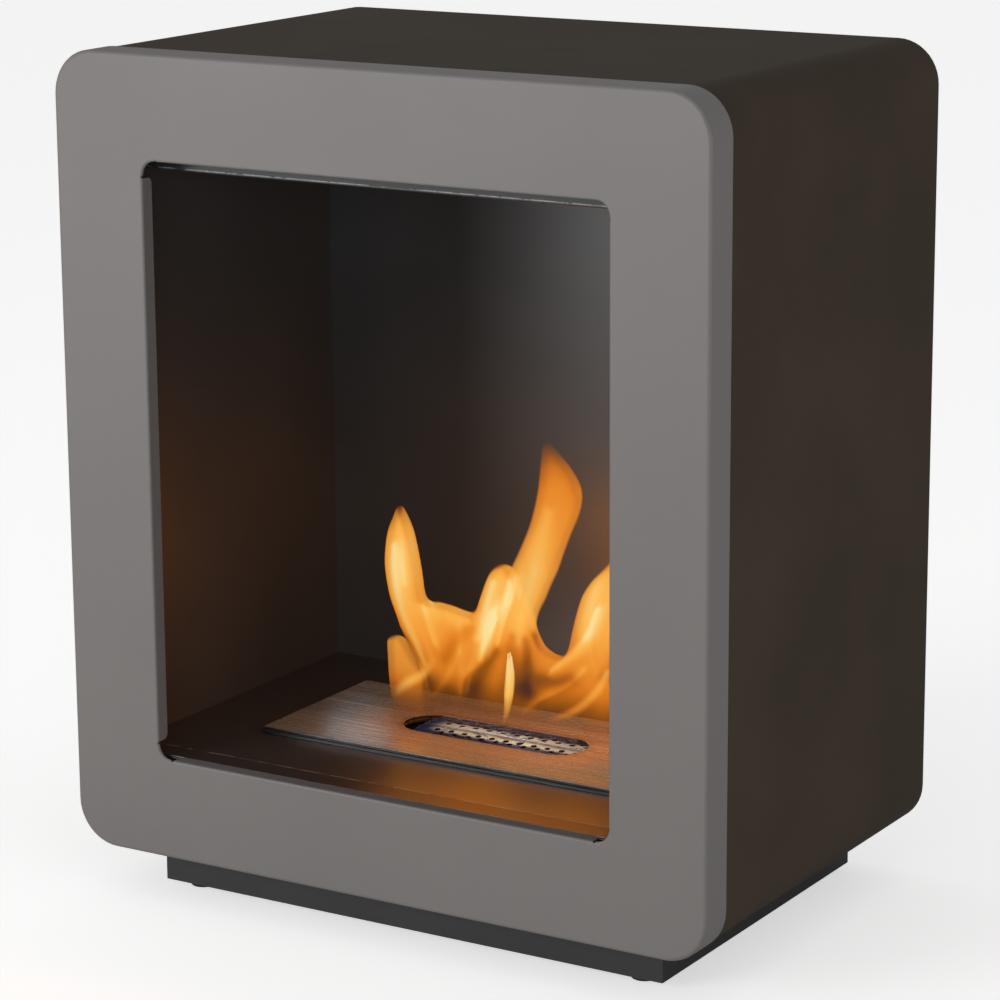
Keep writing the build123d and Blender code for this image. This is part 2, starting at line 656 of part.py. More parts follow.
with BuildPart() as burner_top_plate:
    with BuildSketch(Plane.XY.offset(top_plate_z)):
        with Locations((0, burner_mid_y)):
            RectangleRounded(burner_length, burner_width, burner_corner_radius)
            SlotOverall(slot_length, slot_width, mode=Mode.SUBTRACT)
    extrude(amount=burner_top_sheet)
    fillet(burner_top_plate.edges().group_by(Axis.Z)[-1], burner_edge_radius)
burner_top_plate.part.label = "burner_top_plate"
export_step(burner_top_plate.part, "parts/burner_top_plate.step")

with BuildPart() as burner_under_plate:
    with BuildSketch(Plane.XY.offset(under_plate_z)):
        with Locations((0, burner_mid_y)):
            RectangleRounded(burner_length, burner_width, burner_corner_radius)
            SlotOverall(slot_length, slot_width, mode=Mode.SUBTRACT)
    extrude(amount=burner_under_sheet)
burner_under_plate.part.label = "burner_under_plate"
export_step(burner_under_plate.part, "parts/burner_under_plate.step")

disc_spread_x = burner_length - 2 * spacer_disc_inset
disc_spread_y = burner_width - 2 * spacer_disc_inset
with BuildPart() as plate_spacer_discs:
    with BuildSketch(Plane.XY.offset(baffle_z)):
        with Locations((0, burner_mid_y)):
            with GridLocations(disc_spread_x, disc_spread_y, 2, 2):
                Circle(spacer_disc_radius)
            with GridLocations(disc_spread_x / 3, disc_spread_y, 2, 2):
                Circle(spacer_disc_radius)
    extrude(amount=baffle_sheet)
plate_spacer_discs.part.label = "plate_spacer_discs"
export_step(plate_spacer_discs.part, "parts/plate_spacer_discs.step")

# ---- Perforated baffle: a flat sheet pressed up into a shallow roof inside the slot ----
row_holes = []
for offset, count, start in (
    (inner_row_offset, inner_row_count, first_hole_x),
    (outer_row_offset, outer_row_count, first_hole_x + hole_pitch / 2),
):
    for side in (-1, 1):
        row_holes += [(start + step * hole_pitch, burner_mid_y + side * offset) for step in range(count)]
half_slot = slot_width / 2
baffle_left_x = slot_left_x + baffle_left_gap
baffle_right_x = slot_length / 2 + baffle_flange
baffle_half_width = half_slot + baffle_flange
baffle_top_z = baffle_z + baffle_sheet


# The roof's solid wedge over a level, from a left end to the slot's round end, kept inside the slot by a gap
def roof_wedge(base_z, left_x, gap):
    with BuildPart() as wedge:
        with BuildSketch(Plane.YZ.offset(left_x)):
            with BuildLine():
                Polyline(
                    (burner_mid_y - half_slot, base_z),
                    (burner_mid_y + half_slot, base_z),
                    (burner_mid_y, base_z + baffle_rise),
                    close=True,
                )
            make_face()
        extrude(amount=baffle_right_x - left_x)
        with BuildSketch(Plane.XY.offset(base_z)):
            with Locations((0, burner_mid_y)):
                SlotOverall(slot_length - 2 * gap, slot_width - 2 * gap)
        extrude(amount=baffle_rise, mode=Mode.INTERSECT)
    return wedge.part


roof_top = roof_wedge(baffle_top_z, baffle_left_x, fit_gap)
roof_hollow = roof_wedge(baffle_z, baffle_left_x + baffle_sheet, fit_gap + baffle_sheet)
lip_low_z = baffle_z - baffle_lip
with BuildPart() as left_lip:
    block(
        (baffle_left_x, burner_mid_y - half_slot, lip_low_z),
        (baffle_left_x + baffle_sheet, burner_mid_y + half_slot, baffle_z),
    )
    with BuildSketch(Plane.XY.offset(lip_low_z)):
        with Locations((0, burner_mid_y)):
            SlotOverall(slot_length - 2 * fit_gap, slot_width - 2 * fit_gap)
    extrude(amount=baffle_lip, mode=Mode.INTERSECT)

with BuildPart() as perforated_baffle:
    block(
        (baffle_left_x, burner_mid_y - baffle_half_width, baffle_z),
        (baffle_right_x, burner_mid_y + baffle_half_width, baffle_top_z),
    )
    add(roof_top)
    add(roof_hollow, mode=Mode.SUBTRACT)
    add(left_lip.part)
    block(
        (baffle_left_x, burner_mid_y - baffle_seam_width / 2, baffle_top_z),
        (
            slot_length / 2 - baffle_flange,
            burner_mid_y + baffle_seam_width / 2,
            baffle_top_z + baffle_rise + baffle_seam_height,
        ),
    )
    with BuildSketch(Plane.XY.offset(baffle_z)):
        with Locations(*row_holes):
            Circle(hole_radius)
    extrude(amount=2 * (baffle_sheet + baffle_rise), mode=Mode.SUBTRACT)
perforated_baffle.part.label = "perforated_baffle"
export_step(perforated_baffle.part, "parts/perforated_baffle.step")

# ---- Regulator slide with the same holes, and the two rails that carry it ----
slide_top_z = under_plate_z - slide_top_gap
slide_under_z = slide_top_z - slide_sheet
ledge_top_z = slide_under_z - slide_bottom_gap
rail_under_z = ledge_top_z - rail_sheet
rail_inner_y = half_slot + rail_side_gap
slide_half_width = rail_inner_y - slide_side_gap
slide_left_x = slot_left_x - slide_overlap
slide_right_x = slot_length / 2 + slide_overlap + slide_travel
with BuildPart() as regulator_slide:
    block(
        (slide_left_x, burner_mid_y - slide_half_width, slide_under_z),
        (slide_right_x, burner_mid_y + slide_half_width, slide_top_z),
    )
    with BuildSketch(Plane.XY.offset(slide_under_z)):
        with Locations(*row_holes):
            Circle(hole_radius)
        with Locations((baffle_left_x - tool_hole_gap, burner_mid_y)):
            Circle(tool_hole_radius)
    extrude(amount=slide_sheet, mode=Mode.SUBTRACT)
    fillet(regulator_slide.edges().filter_by(Axis.Z).group_by(Axis.X)[0], slide_sheet)
regulator_slide.part.label = "regulator_slide"
export_step(regulator_slide.part, "parts/regulator_slide.step")

# Each rail is an angle with a turned-in stop at both ends of the slide's travel
rail_start_x = slide_left_x - slide_travel - slide_end_gap - rail_sheet
rail_end_x = slide_right_x + slide_end_gap + rail_sheet
for side, name in ((-1, "slide_rail_front"), (1, "slide_rail_rear")):
    inner_y = burner_mid_y + side * rail_inner_y
    outer_y = inner_y + side * rail_width
    ledge_y = inner_y - side * rail_ledge
    with BuildPart() as rail:
        block(
            (rail_start_x, min(inner_y, outer_y), rail_under_z),
            (rail_end_x, max(inner_y, outer_y), under_plate_z),
        )
        block(
            (rail_start_x, min(ledge_y, outer_y), rail_under_z),
            (rail_end_x, max(ledge_y, outer_y), ledge_top_z),
        )
        for stop_x in (rail_start_x, rail_end_x - rail_sheet):
            block(
                (stop_x, min(ledge_y, outer_y), ledge_top_z),
                (stop_x + rail_sheet, max(ledge_y, outer_y), under_plate_z),
            )
    rail.part.label = name
    export_step(rail.part, f"parts/{name}.step")

# ---- Fuel tank, fibre wick and fastening ----
tank_floor_z = under_plate_z - tank_height
with BuildPart() as fuel_tank:
    with BuildSketch(Plane.XY.offset(tank_floor_z)):
        with Locations((0, burner_mid_y)):
            RectangleRounded(tank_length, tank_width, tank_corner_radius)
    extrude(amount=tank_height)
    with BuildSketch(Plane.XY.offset(under_plate_z)):
        with Locations((0, burner_mid_y)):
            RectangleRounded(tank_flange_length, tank_flange_width, tank_flange / 2)
    extrude(amount=-tank_sheet)
    with BuildSketch(Plane.XY.offset(tank_floor_z + tank_sheet)):
        with Locations((0, burner_mid_y)):
            RectangleRounded(tank_length - 2 * tank_sheet, tank_width - 2 * tank_sheet,
                             tank_corner_radius - tank_sheet)
    extrude(amount=tank_height, mode=Mode.SUBTRACT)
    with BuildSketch(Plane.XY.offset(under_plate_z)):
        with Locations((0, burner_mid_y)):
            with Locations(*tank_stud_points):
                Circle(tank_stud_radius + hole_clearance)
    extrude(amount=-tank_sheet, mode=Mode.SUBTRACT)
fuel_tank.part.label = "fuel_tank"
export_step(fuel_tank.part, "parts/fuel_tank.step")

wick_inset = tank_sheet + wick_gap
with BuildPart() as ceramic_fibre_wick:
    with BuildSketch(Plane.XY.offset(tank_floor_z + tank_sheet)):
        with Locations((0, burner_mid_y)):
            RectangleRounded(tank_length - 2 * wick_inset, tank_width - 2 * wick_inset,
                             tank_corner_radius - wick_inset)
    extrude(amount=wick_height)
ceramic_fibre_wick.part.label = "ceramic_fibre_wick"
export_step(ceramic_fibre_wick.part, "parts/ceramic_fibre_wick.step")

with BuildPart() as tank_studs:
    with BuildSketch(Plane.XY.offset(under_plate_z)):
        with Locations((0, burner_mid_y)):
            with Locations(*tank_stud_points):
                Circle(tank_stud_radius)
    extrude(amount=-tank_stud_length)
tank_studs.part.label = "tank_studs"
export_step(tank_studs.part, "parts/tank_studs.step")

with BuildPart() as tank_nuts:
    with BuildSketch(Plane.XY.offset(under_plate_z - tank_sheet)):
        with Locations((0, burner_mid_y)):
            with Locations(*tank_stud_points):
                RegularPolygon(tank_nut_flats / 2, 6, major_radius=False)
                Circle(tank_stud_radius + thread_clearance, mode=Mode.SUBTRACT)
    extrude(amount=-tank_nut_height)
tank_nuts.part.label = "tank_nuts"
export_step(tank_nuts.part, "parts/tank_nuts.step")
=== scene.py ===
import json
import math

import bpy
import numpy as np
from mathutils import Matrix, Vector


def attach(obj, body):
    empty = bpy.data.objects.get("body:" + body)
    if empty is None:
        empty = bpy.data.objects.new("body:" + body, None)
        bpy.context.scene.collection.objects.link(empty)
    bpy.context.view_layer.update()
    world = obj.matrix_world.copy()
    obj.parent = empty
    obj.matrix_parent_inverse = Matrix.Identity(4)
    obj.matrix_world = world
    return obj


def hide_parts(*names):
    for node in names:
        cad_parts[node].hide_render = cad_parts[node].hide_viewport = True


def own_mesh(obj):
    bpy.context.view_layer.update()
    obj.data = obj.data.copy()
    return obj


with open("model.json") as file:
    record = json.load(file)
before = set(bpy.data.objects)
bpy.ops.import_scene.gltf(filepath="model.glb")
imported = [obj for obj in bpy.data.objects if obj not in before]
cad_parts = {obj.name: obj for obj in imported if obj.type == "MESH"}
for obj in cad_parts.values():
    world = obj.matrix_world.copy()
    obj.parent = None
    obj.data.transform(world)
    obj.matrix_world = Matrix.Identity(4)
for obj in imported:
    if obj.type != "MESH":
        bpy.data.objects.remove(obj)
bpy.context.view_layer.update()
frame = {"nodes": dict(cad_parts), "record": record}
print("frame loaded with", len(frame["nodes"]), "nodes")


cameraValues = {
    "position": (1.40779, -2.30171, 0.96646),
    "turn": 0.549208,      # radians to the left of +Y
    "tilt": -0.238455,     # radians, below the horizon
    "lean": -0.006278,     # radians about the look direction
    "lens": 129.0,         # millimetres
    "farthest": 200,       # metres
}


# The look direction is (-sin turn cos tilt, cos turn cos tilt, sin tilt), right is look x Z and up is
# right x look; the lean turns right and up about the look direction
def placeCamera(v):
    turn, tilt, lean = v["turn"], v["tilt"], v["lean"]
    look = Vector((-math.sin(turn) * math.cos(tilt), math.cos(turn) * math.cos(tilt), math.sin(tilt)))
    right = look.cross(Vector((0, 0, 1))).normalized()
    up = right.cross(look)
    leanRight = math.cos(lean) * right + math.sin(lean) * up
    leanUp = math.cos(lean) * up - math.sin(lean) * right
    data = bpy.data.cameras.new("studioCamera")
    data.lens = v["lens"]
    data.clip_end = v["farthest"]
    camera = bpy.data.objects.new("studioCamera", data)
    turned = Matrix((leanRight, leanUp, -look)).transposed().to_4x4()
    camera.matrix_world = Matrix.Translation(Vector(v["position"])) @ turned
    bpy.context.scene.collection.objects.link(camera)
    bpy.context.scene.camera = camera


flameOrange, paleOrange = (1.0, 0.27, 0.012), (1.0, 0.44, 0.13)
lightValues = {
    "softboxes": (
        # name, middle, point it faces, width, height, watts, colour, group of nodes it lights or None for all
        ("keySoftbox", (-2.0, -3.4, 0.75), (0, 0, 0.35), 2.0, 2.2, 92, (1.0, 0.99, 0.985), None),
        ("fillSoftbox", (3.0, -1.2, 0.45), (0, 0, 0.25), 1.2, 0.8, 16, (1.0, 0.99, 0.98), None),
        ("windowSoftbox", (1.2, -2.6, 0.9), (0, 0, 0.35), 1.0, 1.0, 30, (0.97, 0.99, 1.0), "firebox"),
    ),
    "ceilingStrength": 0.12,       # even light from straight above
    "ceilingSpread": 100,          # degrees
    "lamps": (
        # middle, radius, watts, colour, group of nodes it lights, whether it shows in reflections
        ((-0.074, -0.016, 0.228), 0.022, 0.30, flameOrange, "surroundings", True),
        ((-0.015, -0.011, 0.195), 0.022, 0.30, flameOrange, "surroundings", True),
        ((0.040, -0.014, 0.255), 0.022, 0.50, flameOrange, "surroundings", True),
        ((0.088, -0.011, 0.205), 0.022, 0.54, flameOrange, "surroundings", True),
        ((-0.040, -0.014, 0.215), 0.040, 0.36, paleOrange, "plates", False),
        ((0.040, -0.014, 0.255), 0.040, 0.84, paleOrange, "plates", False),
        ((0.088, -0.011, 0.205), 0.040, 0.66, paleOrange, "plates", False),
        ((-0.200, 0.090, 0.200), 0.030, 0.016, (0.85, 0.92, 1.0), "plates", True),
        ((0.010, -0.004, 0.190), 0.050, 0.42, (1.0, 0.82, 0.62), "slotSheets", True),
    ),
    "groups": {
        "outerShells": ("front_fascia", "outer_casing"),          # daylight drowns the flames' glow on them
        "slotSheets": ("perforated_baffle", "regulator_slide"),
        "plates": ("burner_top_plate", "burner_under_plate"),
        "firebox": [part["node"] for part in frame["record"]["subparts"]
                    if part["material_slot"] == "firebox_black"],
    },
    "worldLight": 0.35,
    "worldShown": 1.0,
}
floorValues = {
    "size": 60, "colour": (0.80, 0.798, 0.795), "roughness": 0.9, "specular": 0.1,
    "shownLift": 0.58,             # light of its own that only the camera sees
}


# What has this collection as its receivers lights only the named nodes, or everything but them
def litNodes(name, nodes, state="INCLUDE"):
    receivers = bpy.data.collections.new(name)
    for node in nodes:
        receivers.objects.link(frame["nodes"][node])
    for linked in receivers.collection_objects:
        linked.light_linking.link_state = state
    return receivers


# A lamp or softbox at a place, which lights only its receivers where it has any
def addLight(name, kind, place, watts, colour, receivers):
    data = bpy.data.lights.new(name, kind)
    data.energy, data.color = watts, colour
    lamp = bpy.data.objects.new(name, data)
    lamp.location = place
    lamp.light_linking.receiver_collection = receivers
    bpy.context.scene.collection.objects.link(lamp)
    return lamp


# Softboxes are turned so that their -Z axis points at the target; "surroundings" is all but the named groups
def placeLights(v):
    groups = v["groups"]
    receivers = {name: litNodes(name + "Lit", groups[name]) for name in ("firebox", "slotSheets", "plates")}
    others = (*groups["outerShells"], *groups["slotSheets"], *groups["plates"])
    receivers["surroundings"] = litNodes("surroundingsLit", others, "EXCLUDE")
    for name, middle, target, width, height, watts, colour, lit in v["softboxes"]:
        softbox = addLight(name, "AREA", middle, watts, colour, receivers.get(lit))
        softbox.data.shape = "RECTANGLE"
        softbox.data.size, softbox.data.size_y = width, height
        softbox.rotation_mode = "QUATERNION"
        softbox.rotation_quaternion = (Vector(target) - Vector(middle)).to_track_quat("-Z", "Y")
    ceiling = addLight("ceilingLight", "SUN", (0, 0, 0), v["ceilingStrength"], (1, 1, 1), None)
    ceiling.data.angle = math.radians(v["ceilingSpread"])
    for number, (place, radius, watts, colour, lit, mirrors) in enumerate(v["lamps"]):
        lamp = addLight(f"flameLamp{number}", "POINT", place, watts, colour, receivers[lit])
        lamp.data.shadow_soft_size = radius
        lamp.visible_glossy = mirrors


# A node's inputs, by name or as i0, i1 and so on, each get a value or a link from another socket; None
# leaves an input alone, and a colour without alpha becomes opaque
def fill(node, **inputs):
    for key, value in inputs.items():
        socket = node.inputs[int(key[1:]) if key[0] == "i" and key[1:].isdigit() else key.replace("_", " ")]
        if isinstance(value, bpy.types.NodeSocket):
            node.id_data.links.new(value, socket)
        elif value is not None:
            socket.default_value = (*value, 1) if socket.type == "RGBA" else value
    return node


# A node with its settings made and its inputs filled
def addNode(tree, kind, settings=(), **inputs):
    node = tree.nodes.new(kind)
    for key, value in dict(settings).items():
        setattr(node, key, value)
    return fill(node, **inputs)


# A node in the tree of the sockets that it reads
def addStep(kind, settings=(), **inputs):
    sources = [value for value in inputs.values() if isinstance(value, bpy.types.NodeSocket)]
    return addNode(sources[0].id_data, kind, settings, **inputs)


# One arithmetic step; each operand is a number or a socket
def calculate(operation, first, second=None, third=None):
    return addStep("ShaderNodeMath", {"operation": operation}, i0=first, i1=second, i2=third).outputs[0]


# The first shader where the mask is nothing, the second where it is one
def mixShaders(mask, first, second):
    return addStep("ShaderNodeMixShader", i0=mask, i1=first.outputs[0], i2=second.outputs[0]).outputs[0]


# The emptied node tree of a world or material, and its output node
def startTree(owner, outputKind):
    owner.use_nodes = True
    owner.node_tree.nodes.clear()
    return owner.node_tree, owner.node_tree.nodes.new(outputKind)


# White surroundings: one level lights the object, the other is what the camera sees behind it
def makeWorld(lightLevel, shownLevel):
    world = bpy.data.worlds.new("studioWorld")
    tree, out = startTree(world, "ShaderNodeOutputWorld")
    lighting = addNode(tree, "ShaderNodeBackground", Color=(1, 1, 1), Strength=lightLevel)
    shown = addNode(tree, "ShaderNodeBackground", Color=(1, 1, 1), Strength=shownLevel)
    ray = tree.nodes.new("ShaderNodeLightPath")
    fill(out, Surface=mixShaders(ray.outputs["Is Camera Ray"], lighting, shown))
    bpy.context.scene.world = world


# Rows of four corners: the quads of a grid of numbered points, facing up where x and y grow with the indices
def gridFaces(number):
    return np.stack([number[:-1, :-1], number[1:, :-1], number[1:, 1:], number[:-1, 1:]], -1).reshape(-1, 4)


# The floor is one wide pale sheet, a grid of two by two quads, seen from above only; a little light of its
# own, which only the camera sees, lifts it towards the white surroundings
def makeFloor(v):
    mesh = bpy.data.meshes.new("studioFloor")
    steps = np.linspace(-v["size"] / 2, v["size"] / 2, 3)
    x, y = np.meshgrid(steps, steps, indexing="ij")
    points = np.stack([x, y, np.zeros_like(x)], -1).reshape(-1, 3)
    mesh.from_pydata(points.tolist(), [], gridFaces(np.arange(x.size).reshape(x.shape)).tolist())
    floor = bpy.data.objects.new("studioFloor", mesh)
    bpy.context.scene.collection.objects.link(floor)
    material = bpy.data.materials.new("paleFloor")
    tree, out = startTree(material, "ShaderNodeOutputMaterial")
    ray = tree.nodes.new("ShaderNodeLightPath")
    lift = calculate("MULTIPLY", ray.outputs["Is Camera Ray"], v["shownLift"])
    paper = addStep("ShaderNodeBsdfPrincipled", Base_Color=v["colour"], Roughness=v["roughness"],
                    Specular_IOR_Level=v["specular"], Emission_Color=(1, 1, 1), Emission_Strength=lift)
    clear = tree.nodes.new("ShaderNodeBsdfTransparent")
    facing = tree.nodes.new("ShaderNodeNewGeometry")
    fill(out, Surface=mixShaders(facing.outputs["Backfacing"], paper, clear))
    mesh.materials.append(material)


placeCamera(cameraValues)
placeLights(lightValues)
makeWorld(lightValues["worldLight"], lightValues["worldShown"])
makeFloor(floorValues)
bpy.context.scene.view_settings.view_transform = "Standard"
print("camera, lights and floor placed")


# Shared surface effects: each is a node group, built once, that reads a place and gives plain values
def startGroup(name, outputs, **inputs):
    tree = bpy.data.node_groups.new(name, "ShaderNodeTree")
    for key, value in {"Place": (0.0, 0.0, 0.0), **inputs}.items():
        kind = "NodeSocketVector" if isinstance(value, tuple) else "NodeSocketFloat"
        made = tree.interface.new_socket(key.replace("_", " "), in_out="INPUT", socket_type=kind)
        made.default_value = value
    for key in outputs:
        tree.interface.new_socket(key, in_out="OUTPUT", socket_type="NodeSocketFloat")
    return tree, tree.nodes.new("NodeGroupInput").outputs, tree.nodes.new("NodeGroupOutput")


# Smoothstep between low and high, carried over to the new range
def remap(source, low, high, newLow=0.0, newHigh=1.0):
    return addStep("ShaderNodeMapRange", {"interpolation_type": "SMOOTHSTEP"},
                   i0=source, i1=low, i2=high, i3=newLow, i4=newHigh).outputs[0]


# The share of the first value and the rest of the second
def weigh(share, first, second):
    return calculate("MULTIPLY_ADD", first, share, calculate("MULTIPLY", second, 1 - share))


# The plain value of a noise, whose scale is in cells for each metre
def addNoise(place, **inputs):
    return addStep("ShaderNodeTexNoise", Vector=place, **inputs).outputs[0]


# Each coordinate times its own factor
def scalePlace(place, factors):
    return addStep("ShaderNodeVectorMath", {"operation": "MULTIPLY"}, i0=place, i1=factors).outputs[0]


# The outputs X, Y and Z of a place or direction
def splitPlace(place):
    return addStep("ShaderNodeSeparateXYZ", i0=place).outputs


# The Z of the true normal: 1 on what faces up, 0 on what stands upright
def normalZ(tree):
    return splitPlace(tree.nodes.new("ShaderNodeNewGeometry").outputs["Normal"])["Z"]


# Powder coat: grain is a fine noise over one six times coarser, cloud a slow drift of tone over a sheet
def makePowderGrain():
    tree, given, out = startGroup("powderGrain", ("Grain", "Cloud"), Grains_per_metre=1500.0)
    place, grains = given["Place"], given["Grains per metre"]
    fine = addNoise(place, Scale=grains, Detail=2.0, Roughness=0.6)
    coarse = addNoise(place, Scale=calculate("DIVIDE", grains, 6.0), Detail=1.0, Roughness=0.5)
    cloud = addNoise(place, Scale=6.0, Detail=4.0, Roughness=0.55)
    fill(out, Grain=weigh(0.45, coarse, fine), Cloud=remap(cloud, 0.3, 0.7))
    return tree


# Brushing: noise squeezed across the brushing direction, fine lines over broader bands
def makeBrushedLines():
    tree, given, out = startGroup("brushedLines", ("Lines", "Bands"), Squeeze=(5.0, 900.0, 900.0))
    squeezed = scalePlace(given["Place"], given["Squeeze"])
    lines = addNoise(squeezed, Scale=1.0, Detail=4.0, Roughness=0.7)
    bands = addNoise(squeezed, Scale=0.13, Detail=3.0, Roughness=0.6)
    fill(out, Lines=remap(lines, 0.32, 0.68), Bands=remap(bands, 0.3, 0.7))
    return tree


# Edge wear, and on some finishes a painted highlight along edges: one minus the cosine between the true
# normal and the normal of a rounded edge, broken up by noise
def makeEdgeWearAndHighlight():
    tree, given, out = startGroup("edgeWearAndHighlight", ("Worn",), Width=0.0008)
    rounded = addStep("ShaderNodeBevel", {"samples": 4}, Radius=given["Width"])
    true = tree.nodes.new("ShaderNodeNewGeometry")
    agree = addStep("ShaderNodeVectorMath", {"operation": "DOT_PRODUCT"},
                    i0=rounded.outputs[0], i1=true.outputs["Normal"])
    edge = remap(calculate("SUBTRACT", 1.0, agree.outputs["Value"]), 0.02, 0.25)
    breakUp = addNoise(given["Place"], Scale=90.0, Detail=4.0, Roughness=0.65)
    fill(out, Worn=calculate("MULTIPLY", edge, remap(breakUp, 0.4, 0.65)))
    return tree


# Dust: faces that look up, times soft patches and fine specks
def makeSettledDust():
    tree, given, out = startGroup("settledDust", ("Dust",))
    patches = addNoise(given["Place"], Scale=38.0, Detail=5.0, Roughness=0.7)
    specks = addNoise(given["Place"], Scale=900.0, Detail=2.0, Roughness=0.5)
    cover = calculate("MULTIPLY_ADD", remap(specks, 0.58, 0.7), 0.7, remap(patches, 0.35, 0.75))
    fill(out, Dust=calculate("MULTIPLY", remap(normalZ(tree), 0.6, 1.0), cover))
    return tree


# Spangle: the cells of a distorted Voronoi pattern, each with its own tone, and a fine frost over them
def makeZincSpangle():
    tree, given, out = startGroup("zincSpangle", ("Tone", "Frost"), Cells_per_metre=110.0)
    place = given["Place"]
    bend = addStep("ShaderNodeTexNoise", Vector=place, Scale=160.0, Detail=2.0)
    pushed = addStep("ShaderNodeVectorMath", {"operation": "MULTIPLY_ADD"},
                     i0=bend.outputs["Color"], i1=(0.006, 0.006, 0.006), i2=place)
    cells = addStep("ShaderNodeTexVoronoi", Vector=pushed.outputs[0], Scale=given["Cells per metre"])
    tone = addStep("ShaderNodeSeparateColor", i0=cells.outputs["Color"])
    fill(out, Tone=tone.outputs[0], Frost=addNoise(place, Scale=1400.0, Detail=3.0, Roughness=0.7))
    return tree


powderGrain = makePowderGrain()
brushedLines = makeBrushedLines()
edgeWearAndHighlight = makeEdgeWearAndHighlight()
settledDust = makeSettledDust()
zincSpangle = makeZincSpangle()
print("shared surface effects built")


# The outputs of a shared group that reads this place
def placeGroup(group, place, **inputs):
    return addStep("ShaderNodeGroup", {"node_tree": group}, Place=place, **inputs).outputs


# A material whose only shader is a Principled one, and the place on the object that its textures read
def startMaterial(name, **inputs):
    material = bpy.data.materials.new(name)
    tree, out = startTree(material, "ShaderNodeOutputMaterial")
    skin = addNode(tree, "ShaderNodeBsdfPrincipled", **inputs)
    fill(out, Surface=skin.outputs[0])
    return material, skin, tree.nodes.new("ShaderNodeTexCoord").outputs["Object"]


# The first colour where the mask is nothing, the second where it is one
def blendColours(mask, first, second):
    return addStep("ShaderNodeMix", {"data_type": "RGBA"}, Factor=mask, i6=first, i7=second).outputs[2]


# Edges turned to another colour: rubbing on most finishes, a painted highlight on the window frame, the
# burner plate and the slot's baffle; v["wear"] is their width in metres, the colour's share and
# the colour
def paintEdgeWearAndHighlight(place, v, base):
    width, share, colour = v["wear"]
    wornAndLit = placeGroup(edgeWearAndHighlight, place, Width=width)["Worn"]
    return blendColours(calculate("MULTIPLY", wornAndLit, share), base, colour)


# How a finish ends: its colour, its bump (strength, depth in metres), and its roughness, which goes from the
# first to the second value while the mask rises from low to high
def endSkin(skin, v, colour, height, mask, low=0.0, high=1.0):
    strength, depth = v["bump"]
    bump = addStep("ShaderNodeBump", Height=height, Strength=strength, Distance=depth)
    roughness = remap(mask, low, high, *v["roughness"])
    fill(skin, Base_Color=colour, Roughness=roughness, Normal=bump.outputs[0])


coatings = {
    # "tones" are the darkest and the lightest, "grain" is per metre, "dust" its share and colour
    "fascia_paint": {
        "tones": ((0.188, 0.176, 0.172), (0.197, 0.185, 0.180)),
        "specular": 0.30, "roughness": (0.38, 0.48), "grain": 700.0, "bump": (0.08, 0.00010),
        "dust": (0.06, (0.36, 0.35, 0.33)), "wear": (0.0012, 0.30, (0.33, 0.315, 0.30)),
    },
    "casing_powder_coat": {
        "tones": ((0.0565, 0.0440, 0.0325), (0.0740, 0.0575, 0.0430)),
        "specular": 0.010, "roughness": (0.42, 0.52), "grain": 1500.0, "bump": (0.22, 0.00012),
        "dust": (0.02, (0.15, 0.13, 0.11)), "wear": (0.0011, 0.5, (0.11, 0.09, 0.075)),
    },
    "plinth_powder_coat": {
        "tones": ((0.034, 0.0320, 0.0330), (0.040, 0.0378, 0.0390)),
        "specular": 0.35, "roughness": (0.46, 0.58), "grain": 1500.0, "bump": (0.25, 0.00015),
        "dust": (0.08, (0.20, 0.18, 0.16)), "wear": (0.0010, 0.5, (0.10, 0.095, 0.09)),
    },
    "firebox_black": {
        "tones": ((0.0150, 0.0178, 0.0195), (0.0195, 0.0226, 0.0245)),
        "specular": 0.56, "roughness": (0.32, 0.40), "grain": 1300.0, "bump": (0.14, 0.00012),
        "dust": (0.03, (0.06, 0.058, 0.056)), "wear": (0.0009, 0.35, (0.045, 0.043, 0.042)),
    },
}
# The strip around the window is the same black and more satin, and a pale line along its edges is a painted
# highlight
coatings["frame_black"] = {
    **coatings["firebox_black"], "tones": ((0.0150, 0.0165, 0.0185), (0.0195, 0.0215, 0.0235)),
    # the pale edge colour at five times its share paints that highlight line
    "specular": 0.30, "roughness": (0.36, 0.44), "wear": (0.0016, 5.0, (0.42, 0.42, 0.43)),
}


# A sprayed or powder coat: its tone drifts between dark and light, its roughness follows the cloud and the
# grain, dust lightens what faces up, and the edges are rubbed a little paler, except on the window frame,
# where they carry a painted highlight
def makeCoating(name, v):
    material, skin, place = startMaterial(name, Specular_IOR_Level=v["specular"])
    dark, light = v["tones"]
    dustShare, dustColour = v["dust"]
    grain = placeGroup(powderGrain, place, Grains_per_metre=v["grain"])
    dust = calculate("MULTIPLY", placeGroup(settledDust, place)["Dust"], dustShare)
    base = blendColours(grain["Cloud"], dark, light)
    speckled = blendColours(remap(grain["Grain"], 0.35, 0.65, 0.0, 0.35), base, light)
    wornAndLit = paintEdgeWearAndHighlight(place, v, blendColours(dust, speckled, dustColour))
    endSkin(skin, v, wornAndLit, grain["Grain"], weigh(0.6, grain["Cloud"], grain["Grain"]))
    return material


burnerSteel = {
    "slotHalfLength": 0.058, "slotRadius": 0.023, "slotMiddleY": -0.011,    # its straight half and its ends
    # copper stands for heat tint and also for the flames' glow reflected in the plate, a painted reflection
    "copperTintAndGlow": ((0.80, 0.47, 0.30), 0.9, 0.008, 0.060),         # colour, share, full and gone this far away
    "hot": ((0.36, 0.20, 0.18), 0.45, 0.0, 0.010),
    "tintDrift": (0.010, 60.0),                                # how far the tints' borders wander; per metre
    "plain": (0.37, 0.385, 0.41),
    "lines": ((0.24, 0.235, 0.245), 0.30), "bands": ((0.86, 0.84, 0.83), 0.34),
    # the pale edge colour paints a highlight along the plate's edges
    "cutEdge": (0.022, 0.020, 0.020), "wear": (0.0011, 0.80, (0.90, 0.88, 0.86)),
    "squeeze": (4.5, 260.0, 260.0), "metallic": 0.80, "roughness": (0.17, 0.30), "bump": (0.45, 0.00022),
}


